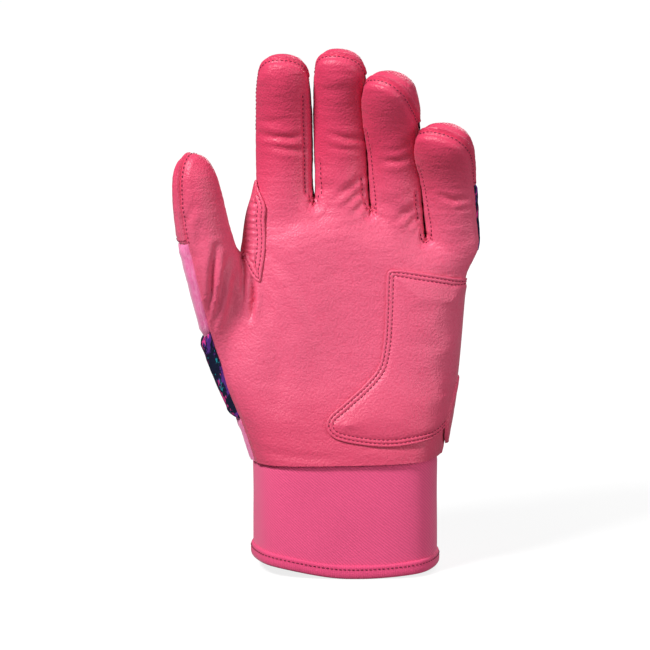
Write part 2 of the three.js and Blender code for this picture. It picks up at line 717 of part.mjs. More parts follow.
// Skins sections one after another; a closed run joins its last section to its first, an open one is capped
function loft(sections, closed) {
  const count = sections[0].length;
  const triangles = [];
  const last = closed ? sections.length : sections.length - 1;
  for (let s = 0; s < last; s++) {
    const from = s * count;
    const to = ((s + 1) % sections.length) * count;
    for (let i = 0; i < count; i++) {
      const next = (i + 1) % count;
      triangles.push(from + i, from + next, to + next, from + i, to + next, to + i);
    }
  }
  if (!closed) {
    const end = last * count;
    for (let i = 1; i < count - 1; i++) {
      triangles.push(0, i + 1, i, end, end + i, end + i + 1);
    }
  }
  const geometry = new THREE.BufferGeometry();
  const positions = sections.flat().flatMap((p) => [...p]);
  geometry.setAttribute("position", new THREE.Float32BufferAttribute(positions, 3));
  geometry.setIndex(triangles);
  return geometry;
}

// Slit: a wedge at the back of the wrist, open at the hem and narrow at its top
function slit() {
  const half = SLIT_WIDTH / 2;
  const tip = SLIT_TIP / 2;
  const below = -HEM_HEIGHT;
  const corners = [[-half, below], [half, below], [tip, SLIT_HEIGHT], [-tip, SLIT_HEIGHT]];
  const wedge = new THREE.Shape(corners.map(([x, z]) => new THREE.Vector2(x, z)));
  const geometry = new THREE.ExtrudeGeometry(wedge, { depth: CUFF_DEPTH, bevelEnabled: false });
  return toSolid(geometry.rotateX(Math.PI / 2).translate(SLIT_X, CUFF_DEPTH, 0));
}

const cuffFoot = BINDING + CLEAR;
const cuffTop = CUFF_HEIGHT + CUFF_TUCK;
const tuckFoot = CUFF_HEIGHT - TUCK_START;
const cuffWall = loft([
  wristRing(0, cuffFoot),
  wristRing(0, tuckFoot),
  wristRing(-TUCK_TAPER, cuffTop),
  wristRing(-TUCK_TAPER - NEOPRENE, cuffTop),
  wristRing(-NEOPRENE, tuckFoot),
  wristRing(-NEOPRENE, cuffFoot),
], true);
addPiece(glove, "cuff", toGeometry(toSolid(cuffWall).subtract(slit())), "cuff");

// Hem: a binding folded round the cuff's lower edge
const hemOut = CLEAR + BINDING;
const foldIn = -NEOPRENE - CLEAR;
const hemIn = foldIn - BINDING;
const hemWall = loft([
  wristRing(hemOut, 0),
  wristRing(hemOut, HEM_HEIGHT),
  wristRing(CLEAR, HEM_HEIGHT),
  wristRing(CLEAR, BINDING),
  wristRing(foldIn, BINDING),
  wristRing(foldIn, HEM_HEIGHT),
  wristRing(hemIn, HEM_HEIGHT),
  wristRing(hemIn, 0),
], true);
addPiece(glove, "cuff_hem", toGeometry(toSolid(hemWall).subtract(slit())), "binding");

// A band lying on the cuff between two angles; out gives its height over the cuff, trim narrows it
const RIBBON_STEP = 4;

function ribbon(from, to, out, thick, low, high, trim = () => 0) {
  const steps = Math.max(3, Math.round((to - from) / RIBBON_STEP));
  const sections = Array.from({ length: steps + 1 }, (_, i) => {
    const angle = lerp(from, to, i / steps);
    const share = wristShareAt(angle);
    const less = trim(angle);
    const foot = out(angle);
    return [
      wristPoint(share, foot, low + less), wristPoint(share, foot, high - less),
      wristPoint(share, foot + thick, high - less), wristPoint(share, foot + thick, low + less),
    ];
  });
  return loft(sections, false);
}

const strapTop = STRAP_BASE + STRAP_HEIGHT;
const patchOut = () => CLEAR;
const hookOut = () => 2 * CLEAR + PATCH_THICK;
const strapRise = 3 * CLEAR + 2 * PATCH_THICK;
const strapOut = (angle) => lerp(CLEAR, strapRise, smoothstep(angle, STRAP_FROM, PATCH_FROM - STRAP_LIFT));
const roundEnd = (angle) => END_TAPER * clamp((angle - TAPER_FROM) / TAPER_OVER, 0, 1) ** 2;
const patchLow = STRAP_BASE + PATCH_MARGIN;
const patchHigh = strapTop - PATCH_MARGIN;

const anchorBand = ribbon(ANCHOR_FROM, STRAP_FROM - END_GAP, patchOut, STRAP_THICK, STRAP_BASE, strapTop);
addPiece(glove, "strap_anchor", anchorBand, "cuff");
const loopBand = ribbon(PATCH_FROM, PATCH_TO, patchOut, PATCH_THICK, patchLow, patchHigh);
addPiece(glove, "loop_patch", loopBand, "hook");

// Strap body turns on the outer edge of the line where it leaves its sewn end
const strapMiddle = STRAP_BASE + STRAP_HEIGHT / 2;
const strapBody = addBody(wristPoint(wristShareAt(STRAP_FROM), CLEAR + STRAP_THICK, strapMiddle));
const strapBand = ribbon(STRAP_FROM, STRAP_TO, strapOut, STRAP_THICK, STRAP_BASE, strapTop, roundEnd);
addPiece(strapBody, "strap", strapBand, "cuff");
const hookTrim = (angle) => Math.max(0, roundEnd(angle) - PATCH_MARGIN / 2);
const hookBand = ribbon(PATCH_FROM, PATCH_TO, hookOut, PATCH_THICK, patchLow, patchHigh, hookTrim);
addPiece(strapBody, "hook_patch", hookBand, "hook");
const tabBand = ribbon(STRAP_TO + END_GAP, TAB_TO, strapOut, TAB_THICK, STRAP_BASE, strapTop, roundEnd);
addPiece(strapBody, "pull_tab", tabBand, "rubber");

export default glove;
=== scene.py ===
"""Batting glove for the left hand: sewn leather and stretch panels, padded heel, cuff, strap and stitching.

Modelling code works in millimetres in the CAD frame: +Z runs from the wrist to the fingertips, -Y is the
palm side and -X the thumb's side. Finished objects are in metres.
"""
import functools
import json
import math
from dataclasses import dataclass

import bmesh
import bpy
import numpy as np
from bpy.props import FloatProperty, FloatVectorProperty, PointerProperty
from mathutils import Matrix, Vector, noise
from mathutils.bvhtree import BVHTree
from mathutils.kdtree import KDTree

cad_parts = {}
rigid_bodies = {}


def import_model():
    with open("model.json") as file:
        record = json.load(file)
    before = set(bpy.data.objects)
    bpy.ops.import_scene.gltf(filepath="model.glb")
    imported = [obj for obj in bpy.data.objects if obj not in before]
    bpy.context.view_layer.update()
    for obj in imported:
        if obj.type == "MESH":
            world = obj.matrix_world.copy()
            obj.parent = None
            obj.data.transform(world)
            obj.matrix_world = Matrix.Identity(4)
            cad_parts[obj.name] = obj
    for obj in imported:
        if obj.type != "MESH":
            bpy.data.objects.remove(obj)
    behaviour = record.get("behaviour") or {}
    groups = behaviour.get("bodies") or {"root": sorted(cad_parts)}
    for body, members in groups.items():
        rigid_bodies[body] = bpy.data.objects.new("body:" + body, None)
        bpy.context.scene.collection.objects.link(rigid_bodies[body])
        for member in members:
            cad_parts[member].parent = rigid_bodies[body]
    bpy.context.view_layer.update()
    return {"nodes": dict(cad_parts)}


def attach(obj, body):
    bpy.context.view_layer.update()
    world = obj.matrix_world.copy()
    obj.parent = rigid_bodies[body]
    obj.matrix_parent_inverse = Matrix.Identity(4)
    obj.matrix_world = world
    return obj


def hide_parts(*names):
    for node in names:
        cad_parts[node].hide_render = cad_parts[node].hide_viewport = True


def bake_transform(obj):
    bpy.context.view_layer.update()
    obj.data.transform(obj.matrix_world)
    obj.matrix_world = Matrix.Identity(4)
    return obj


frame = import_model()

bl_info = {
    "name": "Batting Glove",
    "version": (1, 0, 0),
    "blender": (4, 5, 0),
    "location": "View3D > Sidebar > Glove",
    "description": "Builds a sewn batting glove around its packed frame",
    "category": "Object",
}

MM = 0.001

# Cuff and strap, as in the CAD model
LEATHER = 1.2
CLEAR = 0.35
CUFF_DEPTH = 45
CUFF_HEIGHT = 49
CUFF_TUCK = 4
SLIT_X = 9
SLIT_HEIGHT = 36
STRAP_BASE = 10
STRAP_HEIGHT = 32
STRAP_THICK = 1.6
ANCHOR_FROM, STRAP_FROM, STRAP_TO, TAB_TO = 24, 38, 142, 151
PATCH_THICK = 1.1
PATCH_FROM = 104
STRAP_LIFT = 6

# Palm rows and their sides
PALM_LENGTH = 106
WRIST_RISE = 2
PALM_DEPTH = 33
KNUCKLE_DEPTH = 26
KNUCKLE_SHIFT = 9.3
HOLLOW, HOLLOW_SPREAD = 3, 0.45
EDGE_ROUND = 2.4
ROWS = (0, 0.16, 0.36, 0.57, 0.8, 0.91)
THUMB_SIDE = (41.2, 46.4, 57, 49, 43.5, 42)
PINKY_SIDE = (40.8, 43.8, 46, 47.6, 48.8, 50.6)
COLUMNS = 9
SECTION_POWER, SIDE_SHARE, FULLNESS = 2.6, 0.94, 1.03
WRIST_SPREAD = 1.35
HEEL_FROM, MID_PALM = 0.03, 0.5
FINGER_CROTCH = CUFF_HEIGHT + PALM_LENGTH

# Fingers from the thumb side: gap is to the finger before, drop is how low the crotch before it lies, and
# twist turns the tip's front towards the thumb
FINGERS = (
    dict(name="index", width=22.2, depth=20.5, length=67, gap=5, drop=2,
         twist=6, lean=0, pitch=3, bends=(14, 16)),
    dict(name="middle", width=21.2, depth=20.5, length=70.5, gap=2.6, drop=0,
         twist=8, lean=1.5, pitch=4, bends=(14, 18)),
    dict(name="ring", width=21, depth=20, length=73, gap=1.8, drop=3,
         twist=18, lean=3.2, pitch=8, bends=(18, 20)),
    dict(name="pinky", width=21.4, depth=19, length=59.5, gap=2.2, drop=16,
         twist=22, lean=5, pitch=12, bends=(20, 18)),
)
FINGER_NAMES = tuple(finger["name"] for finger in FINGERS)
LAST_GAP, LAST_DROP = 0, 19
ROOT_SWELL, CROTCH_PINCH, OUTER_WEB = 1.06, 0.72, 1.6
STATIONS = (0.11, 0.29, 0.48, 0.67, 0.85, 0.965)
WIDTHS = (0.99, 1, 1, 0.98, 0.94, 0.74)
TIP_SHARE = 1.03
TWIST_END = 0.7
STRETCH_ROWS, GUSSET_ROWS = 3, 5
GUSSET_SHORT = {"ring": 4}
KNUCKLES = ((0.3, 0.6), (0.6, 0.9))
LINE_STEPS = 40

# Eight places round a finger from the left of its front, in degrees, how far each follows when the outer
# seam turns towards the palm, and that turn in degrees at each station
SECTION_ANGLES = (-58, 0, 58, 90, 135, 180, 225, 270)
TURN_SHARES = (0, 0.3, 0.75, 1, 0.85, 0.45, 0, 0)
CAP_TURNS = {
    "index": (0, 0, 0, 0, 0, 0), "middle": (0, 0, 0, 2, 10, 14), "ring": (0, 0, 2, 10, 36, 44),
    "pinky": (14, 14, 10, 8, 14, 18),
}
TIP_ROLLS = {"index": 2.4, "middle": 2.4, "ring": 4.2, "pinky": 1.4}
PRINT_FORWARD = 2.6

# Thumb sections: out from the side of the palm, forward, up from the middle of its root
THUMB_SECTIONS = (
    dict(out=6.3, forward=9, up=17, width=29.5, depth=27, tilt=52),
    dict(out=10.6, forward=12, up=34.8, width=24.3, depth=23, tilt=32),
    dict(out=12.4, forward=15, up=49.8, width=21.2, depth=20, tilt=23),
    dict(out=14.6, forward=18, up=63.6, width=17, depth=15.5, tilt=14),
)
THUMB_TIP = dict(out=16.2, forward=20, up=74.6)
THUMB_FORWARD, THUMB_TWIST = math.radians(12), math.radians(14)
THUMB_ROOT_ROW = 2

# Places round the thumb where its cap begins higher, and how much of the way to the next section
THUMB_BACK, CAP_RISE = (0, 4, 5, 6, 7), 0.38
PRINT_TOP = 50

# Sewn panels, in the order of their numbers on the skin; no gusset lies on the outer sides of the hand
THUMB_PANELS = ("thumb_front", "thumb_stretch_upper", "thumb_back_cap")
FINGER_PARTS = ("front", "back_stretch", "back_cap", "fourchette_inner", "fourchette_outer")
OUTER_SIDES = ("index_fourchette_inner", "pinky_fourchette_outer")
PANELS = (
    "palm_leather", "back_panel", "radial_gusset", "ulnar_panel", "thumb_stretch_lower",
    *THUMB_PANELS,
    *(panel for name in FINGER_NAMES
      for panel in (f"{name}_{part}" for part in FINGER_PARTS) if panel not in OUTER_SIDES),
)
NUMBER = {name: number for number, name in enumerate(PANELS)}
SKIN_LEVELS = 4

# Faces round the palm, from the thumb's end of its front: the last of the front and of the little finger's
# side, the first of the thumb's side and of its root, and the one that folds over above the thumb
PALM_LAST, ULNAR_LAST, RADIAL_FIRST, ROOT_FIRST, PALM_FOLD = 8, 10, 17, 18, 19
ULNAR_ROWS = 2

# Faces round a finger from the left of its front, those at its tip by their places in the last ring with the
# tip as place 8, and the thumb's panels from its root
OUTER_FACE, INNER_FACE, FRONT_FACES = 3, 6, (0, 1, 2, 7)
TIP_FACES = ((0, 1, 8, 7), (1, 2, 3, 8), (8, 3, 4, 5), (7, 8, 5, 6))
THUMB_FRONT_FACES = 4
THUMB_BACKS = ("thumb_stretch_lower", "thumb_stretch_upper", "thumb_back_cap", "thumb_back_cap")
SKIN_MESH = "glove_skin"

# Heights between which painted shade deepens the leather from the palm's colour towards the wrist and the
# fingers
LEATHER_WRIST, LEATHER_TURN, LEATHER_DRIFT = (66, 112), (156, 196), 24
# Shares of the painted shade colour at the wrist, on the fingers and in the grain's valleys
WRIST_PAINTED_SHADE, FINGER_PAINTED_SHADE, PORE_PAINTED_SHADE = 0.55, 0.88, 0.32

# Grain of the leather: how deep its cells are against its folds, and how far they are pushed about
GRAIN_DEPTH, GRAIN_WARP = -2.4, 0.7

# Print: softness of its edges, then for each layer the size of its flecks in millimetres, colour, share of
# noise that stays ground, and offset in metres
PRINT_EDGE = 0.025
PRINT_LAYERS = ((5.0, "print_b", 0.55, 0.0), (4.0, "print_a", 0.6, 0.13), (3.4, "print_c", 0.66, 0.31))

# Panels that run on into each other without a seam
CONTINUOUS = {
    frozenset(pair)
    for pair in (
        [("palm_leather", f"{name}_front") for name in FINGER_NAMES]
        + [("back_panel", f"{name}_back_stretch") for name in FINGER_NAMES]
        + [("palm_leather", "thumb_front"), ("thumb_stretch_lower", "thumb_stretch_upper")]
        + [(f"{a}_fourchette_outer", f"{b}_fourchette_inner") for a, b in zip(FINGER_NAMES, FINGER_NAMES[1:])]
    )
}

# Across a sewn seam: height as a share of its depth, distance from the seam and width in millimetres
SEAM_PROFILE = ((-1, 0, 0.55), (0.45, 1.0, 0.45), (-0.4, 1.9, 0.6), (0.6, 3.8, 1.6))

# Folds and creases of the leather, as lines on the photograph: pixels, depth and width in millimetres
CREASES = (
    (((262, 142), (275, 146), (290, 147), (302, 143)), 0.75, 1.2),
    (((269, 153), (285, 157), (300, 158), (308, 155)), 0.65, 1.2),
    (((258, 128), (272, 131), (288, 130)), 0.3, 1.2),
    (((257, 87), (264, 82), (270, 78)), 0.5, 1.6),
    (((330, 143), (345, 147), (358, 147), (367, 146)), 0.75, 1.2),
    (((325, 153), (340, 157), (356, 157)), 0.35, 1.3),
    (((320, 100), (335, 103), (350, 101)), 0.3, 1.6),
    (((382, 169), (395, 169), (408, 165)), 0.75, 1.2),
    (((384, 160), (396, 159), (406, 156)), 0.35, 1.2),
    (((439, 203), (450, 208), (467, 205)), 0.8, 1.2),
    (((444, 214), (456, 216), (466, 213)), 0.4, 1.3),
    (((306, 196), (318, 193), (336, 196), (352, 199), (367, 203)), 0.4, 2.2),
    (((372, 206), (388, 212), (404, 219), (418, 229)), 0.5, 2.4),
    (((334, 206), (350, 194), (365, 180)), 0.6, 1.5),
    (((342, 214), (354, 203), (367, 193)), 0.55, 1.3),
    (((352, 220), (361, 211), (368, 203)), 0.4, 1.2),
    (((395, 227), (408, 217), (419, 208)), 0.6, 1.5),
    (((402, 236), (412, 226), (421, 218)), 0.5, 1.3),
    (((219, 252), (216, 270), (214, 297), (210, 322)), 1.8, 1.2),
    (((231, 262), (225, 286), (220, 310), (215, 330)), 1.6, 1.1),
    (((236, 280), (234, 300), (229, 322)), 0.7, 1.4),
    (((242, 255), (245, 276), (244, 302)), 1.3, 1.1),
    (((253, 282), (254, 302), (252, 324)), 1.9, 1.0),
    (((263, 296), (268, 308), (271, 326)), 0.5, 2.2),
    (((196, 214), (194, 222), (191, 230)), 0.5, 1.4),
    (((203, 236), (200, 254), (196, 272)), 0.5, 2.2),
    (((266, 296), (275, 332), (281, 364), (277, 402)), 0.7, 4.2),
    (((272, 262), (290, 280), (304, 302), (312, 328)), 0.5, 2.8),
    (((264, 276), (279, 298), (290, 322), (296, 350)), 0.5, 2.4),
    (((258, 224), (285, 230), (312, 228), (330, 219)), 0.55, 4.5),
    (((318, 214), (324, 240), (336, 268), (344, 300)), 0.5, 5),
    (((262, 455), (300, 460), (345, 461)), 0.3, 1.4),
    (((360, 449), (392, 452), (425, 450)), 0.25, 1.4),
)
FOLD_PUFF = 0.45
FOLD_AT, FOLD_WIDTH = 2.2, 1.3
CREASE_ENDS, CREASE_FADE = 0.04, 0.6
CREASE_FACING = (0.1, 0.5)

# Unevenness of worn leather and cloth: height, size and stretch of its bumps
UNEVENNESS = ((0.32, 19, (1, 1, 1)), (0.13, 7, (1.5, 1.5, 0.7)), (0.13, 2.4, (3.0, 3.0, 0.6)))

# Filled fingertips: how far they swell towards the thumb and away from it
SWELLS = {"middle": (0.2, 1.0), "ring": (2.0, 2.0), "pinky": (3.0, 0.8)}
SWELL_FROM, SWELL_FULL = 0.42, 0.82

# How far knitted gussets bulge between their seams, and the height where the bulge has gone
PUFFS = {
    "index_fourchette_outer": (1.0, 212), "middle_fourchette_inner": (0.3, 200),
    "middle_fourchette_outer": (1.2, 200), "ring_fourchette_inner": (1.2, 200),
    "ring_fourchette_outer": (1.4, 186), "pinky_fourchette_inner": (1.4, 186),
    "pinky_back_stretch": (0.8, 190),
}
PUFF_RUN, PUFF_FADE = 2.5, 20
STRIP_PUFF, STRIP_SIDE, STRIP_TOP = 1.5, (30, 42), (102, 114)
TIP_LIP, TIP_LIP_AT, TIP_LIP_WIDTH = 0.6, 1.2, 0.85
TRIM_DIP, TRIM_ROLL, TRIM_WIDTH = 0.32, 0.22, 0.7

# Rows sewn on the finger fronts beside the slits, by side and share of the finger, and the turn below a slit
EDGE_ROWS = (
    ("index", 1, 0.1, 0.78), ("middle", -1, 0.1, 0.3), ("middle", 1, 0.08, 0.2), ("ring", -1, 0.1, 0.62),
    ("ring", 1, 0.06, 0.22), ("pinky", -1, 0.08, 0.66),
)
EDGE_ANGLE = math.radians(53)
SLIT_FOOT = 3.5
SLIT_TURN = ((-2.3, 1.6), (-2.1, 0.2), (-1.4, -1.6), (0, -2.5), (1.4, -1.6), (2.1, 0.2), (2.3, 1.6))
TRIM_STEP = 0.4
FOLD_LENGTH = 15

# Stitches: faces of a capsule, its lift off the surface, its flatness and the reach that gives its direction,
# then how far rows lie from a seam and the shortest one that is sewn
STITCH_SIDES, STITCH_RINGS = 6, 5
STITCH_LIFT = 0.06
STITCH_FLATNESS, STITCH_REACH = 0.9, 0.3
SEAM_ROW, TIP_ROW = 1.9, 1.1
SHORTEST_ROW = 6

# Pieces sewn over the palm: edge and spine in millimetres, as seen from the front (X, Z) or in space, how far
# each ring lies in from the edge and how high over the skin, and which rings are sewn
OVERLAY_POINTS = 360
CROWN_SMOOTHING, CROWN_PASSES = 12, 4
CROWN_SHARES = (0.15, 0.32, 0.5, 0.68, 0.82)
PAD_INSETS = (0, 0.15, 0.4, 0.7, 1.0, 1.3, 1.6, 2.0, 2.5, 2.95, 3.4, 4.2, 5.4)
PAD_HEIGHTS = (0.75, 0.98, 1.06, 1.06, 0.92, 0.72, 0.92, 1.14, 1.0, 0.76, 1.02, 1.28, 1.5)
PAD_ROWS = (5, 9)
PAD_EDGE = (
    (16.7, 126), (17.4, 128.9), (20.4, 129.5), (34, 127.6), (44, 125.6), (51, 2, 123), (50.4, 4, 108),
    (48.6, 4, 88), (46, 0, 69), (39, 61), (22.7, 56.9), (6, 57.6), (-5.4, 60.6), (-8.4, 64.6), (-7.4, 68.6),
    (-1.4, 74), (8, 82.4), (13.2, 89), (15.3, 98), (16.2, 112),
)
PAD_SPINE = ((3, 65.6), (19, 70), (31, 80), (35.5, 98), (35.5, 114))
LEAF_EDGE = (
    (-36, 162.6), (-34.2, 158.4), (-33.2, 154.8), (-33.6, 149.6), (-33.3, 143), (-33.6, 136), (-34.7, 129),
    (-35.9, 124), (-38.8, 126), (-41.2, 129.6),
    (-43, -7, 133), (-43.6, -3, 135), (-43, 0, 137), (-42.2, 1, 141), (-41.1, 1.5, 147), (-39.9, 1, 153),
    (-38.5, 0, 158.5), (-37.5, -1.5, 162.5), (-36.9, -4, 166),
)
LEAF_SPINE = ((-36.8, 157), (-37.4, 150), (-38, 141), (-37.4, 132))
LEAF_INSETS = (0, 0.25, 0.6, 1.0, 1.4, 1.8, 2.3, 2.8, 3.2, 3.6)
LEAF_HEIGHTS = (0.8, 1.15, 1.3, 1.22, 0.95, 1.25, 1.4, 1.4, 1.24, 1.4)
LEAF_CROWN = 2.1
LEAF_RIPPLE, RIPPLE_PITCH = 0.3, 2.7
LEAF_ROWS = ((4, (0, 0.62)), (8, (0.03, 0.4)))
TAB_EDGE = (
    (48.4, 0, 83), (47.8, -4.5, 78), (46.2, -9, 72), (44.6, -11.5, 66.5), (43.8, -11.5, 61), (43.4, -8, 55.6),
    (43.4, -2, 53.4), (44, 6, 55), (46, 7, 66), (48, 6, 77),
)
TAB_SPINE = ((47.4, 1, 76), (46, -1, 68), (44, -5, 60))
TAB_INSETS = (0, 0.3, 0.7, 1.2, 1.8)
TAB_HEIGHTS = (0.9, 1.6, 2.0, 2.2, 2.0)
COVER_THICK = 0.85
CURVE_STEPS, SPINE_STEPS = 24, 24
LEAST_SKEW, MOST_INSET, CROWN_FULL = 0.3, 0.5, 0.75
BEFORE_PALM = -80
SHARP_ANGLE = math.radians(48)

# Cuff, hem and strap as worn
WRIST_POINTS = 720
SLIT_HALF = 4.4
SLIT_TIP_HALF = 0.35
HEM_LIFT_LEFT, HEM_LIFT_RIGHT = 5.0, 1.6
CUFF_COLUMNS, CUFF_ROWS = 220, 44
HEM_SPAN_LEFT, HEM_SPAN_RIGHT = (-2, 40), (6, 40)
CUFF_FOOT = 1
TUCK_IN, TUCK_RUN = 1.5, 3
CUFF_SLACK, SLACK_WIDE, SLACK_HIGH = 0.35, 16, 22
HEM_SIDES = 28
HEM_ROW = 0.72
HEM_EXTRA, HEM_POWER = 2.2, 0.62
HEM_GROOVE, GROOVE_WIDTH = 0.35, 0.5
HEM_STITCHED, HEM_STEPS, HEM_STITCH_OUT = (0.004, 0.996), 400, 0.9
STRAP_NARROWING, NARROW_FROM, NARROW_POWER = 11, 0.86, 2.2
STRAP_GRID, ANCHOR_GRID, TAB_GRID = (90, 40), (16, 40), (36, 30)
STRAP_EDGE, STRAP_EDGE_ANGLE = 0.35, math.radians(50)
ANCHOR_GAP, ANCHOR_SPAN = 0.4, 14
TAB_THICK, TAB_OVERLAP, TAB_PROUD, TAB_TAPER = 1.3, 1.5, 0.5, 4.5
TAB_RIDGE, TAB_RIDGES = 0.22, 3
STRAP_ROW, STRAP_SEWN, STRAP_STEPS = 0.07, (0.03, 0.97), (120, 40)
ANCHOR_SEWN, ANCHOR_STEPS = (0.15, 0.85), (20, 50)

# Camera, matched to the photograph: the image is 650 pixels wide and 0.42 mm of the object a pixel
IMAGE_PIXELS = 650
PIXEL_MM = 0.42
CAMERA_DISTANCE = 1050
CAMERA_ELEVATION = math.radians(10)
IMAGE_ZERO = (346, 573)
TARGET_Z = 112

# Lamps: name, place in metres, width and power
LAMPS = (
    ("key", (-0.54, -0.50, 0.80), 0.25, 12.2),
    ("front", (0.30, -1.05, 0.70), 0.5, 2.4),
    ("side", (0.72, -0.56, 0.22), 0.5, 2.3),
    ("top", (0.35, 0.25, 1.20), 0.6, 3),
    ("back", (0.45, 1.20, 0.70), 0.6, 5),
)
LAMP_AIM = (0, 0, 0.12)

# White paper: half its width, how its glow rises with the distance from the glove, and its own grey
FLOOR_HALF = 20
GLOW_FROM, GLOW_TO = (0.1, 0.82), (1.4, 1.0)
PAPER_GREY = "#808080"
SKY_LIGHT = 0.08


def smoothstep(value, low, high):
    share = np.clip((value - low) / (high - low), 0, 1)
    return share * share * (3 - 2 * share)


def lerp(a, b, share):
    return a + (b - a) * share


def linear(hex_colour):
    """Linear RGBA of an sRGB hex value."""
    parts = [int(hex_colour[i:i + 2], 16) / 255 for i in (1, 3, 5)]
    return tuple(c / 12.92 if c <= 0.04045 else ((c + 0.055) / 1.055) ** 2.4 for c in parts) + (1.0,)


def length_property(name, description, millimetres):
    return FloatProperty(
        name=name, description=description, default=millimetres * MM, unit="LENGTH", precision=4)


def colour_property(name, description, hex_colour):
    return FloatVectorProperty(
        name=name, description=description, default=linear(hex_colour), size=4, min=0, max=1, subtype="COLOR")


class GloveSizes(bpy.types.PropertyGroup):
    """Sizes that a maker would change without new patterns."""

    leather: length_property("Leather", "Thickness of the palm and finger leather", LEATHER)
    stretch: length_property("Stretch fabric", "Thickness of the back, gussets and fourchettes", 1.0)
    neoprene: length_property("Neoprene", "Thickness of the cuff", 2.0)
    seam_depth: length_property("Seam depth", "How deep a sewn seam draws in", 0.55)
    pad_height: length_property("Pad height", "How far the padded heel stands over the palm", 2.2)
    hem_height: length_property("Hem height", "Height of the folded binding at the cuff's edge", 6.0)
    stitch_pitch: length_property("Stitch pitch", "Distance from one stitch to the next", 1.8)
    stitch_length: length_property("Stitch length", "Length of thread that shows in a stitch", 1.2)
    thread: length_property("Thread", "Thickness of the sewing thread", 0.5)


class GloveColours(bpy.types.PropertyGroup):
    """Colours of leather, fabrics and thread."""

    leather: colour_property("Leather", "Coral sheepskin of the palm", "#e2597b")
    # Painted shade: a shaded copy of the leather's colour, mixed in towards the wrist and the fingers and in
    # the grain's valleys
    leather_painted_shade: colour_property("Deep leather", "Coral sheepskin of the fingers", "#cf2f57")
    stretch: colour_property("Stretch", "Heathered stretch fabric at the thumb", "#ea66a0")
    fleck: colour_property("Heather fleck", "Pale yarn in the stretch fabric", "#f58cba")
    ground: colour_property("Print ground", "Dark ground of the printed back", "#161b33")
    print_a: colour_property("Print pink", "First colour of the print", "#d23a86")
    print_b: colour_property("Print violet", "Second colour of the print", "#5b2f86")
    print_c: colour_property("Print teal", "Third colour of the print", "#1f9aa6")
    fourchette: colour_property("Fourchette", "Knitted gussets between the fingers", "#3b1020")
    cuff: colour_property("Cuff", "Laminated twill of the cuff and strap", "#f05587")
    binding: colour_property("Binding", "Folded binding at the hem", "#e84a7c")
    thread: colour_property("Thread", "Bonded sewing thread", "#8c1640")
    tape: colour_property("Tape", "Hook and loop tape", "#8f2347")
    tab: colour_property("Tab", "Moulded rubber of the pull tab", "#c22d5c")


def sizes():
    """The sizes in millimetres."""
    group = bpy.context.scene.glove_sizes
    return {key: getattr(group, key) / MM for key in GloveSizes.__annotations__}


def colour(name, factor=1):
    """A colour of the glove, made darker or paler by a factor."""
    parts = getattr(bpy.context.scene.glove_colours, name)[:3]
    return (*(min(1, part * factor) for part in parts), 1.0)


# Materials

def set_inputs(tree, node, values):
    """Gives a node's inputs their numbers, or links them to sockets."""
    for socket, value in values.items():
        if isinstance(value, bpy.types.NodeSocket):
            tree.links.new(value, node.inputs[socket])
        else:
            node.inputs[socket].default_value = value


def add_node(tree, kind, values=None, **settings):
    """Adds a node; values are numbers or sockets for its inputs."""
    node = tree.nodes.new(kind)
    for key, value in settings.items():
        setattr(node, key, value)
    set_inputs(tree, node, values or {})
    return node


def per_mm(size):
    """Texture scale, in repeats a metre, of a detail of this size in millimetres."""
    return 1 / (size * MM)


def wave_per_mm(size):
    """Wave texture scale for ribs this far apart in millimetres: at scale 1 a wave is tau / 20 long."""
    return per_mm(size) * math.tau / 20


def material_of(name, flat=False):
    """Makes a function that adds nodes, and returns the shader's values, give its material, made only once.

    Patterns lie on Object coordinates, or on the UV map of a piece that was cut flat.
    """
    def wrap(nodes):
        @functools.cache
        @functools.wraps(nodes)
        def make():
            material = bpy.data.materials.new(name)
            material.use_nodes = True
            tree = material.node_tree
            tree.nodes.clear()
            shader = add_node(tree, "ShaderNodeBsdfPrincipled")
            add_node(tree, "ShaderNodeOutputMaterial", {"Surface": shader.outputs["BSDF"]})
            if flat:
                where = add_node(tree, "ShaderNodeUVMap", uv_map="UVMap").outputs["UV"]
            else:
                where = add_node(tree, "ShaderNodeTexCoord").outputs["Object"]
            set_inputs(tree, shader, nodes(tree, where))
            return material
        return make
    return wrap


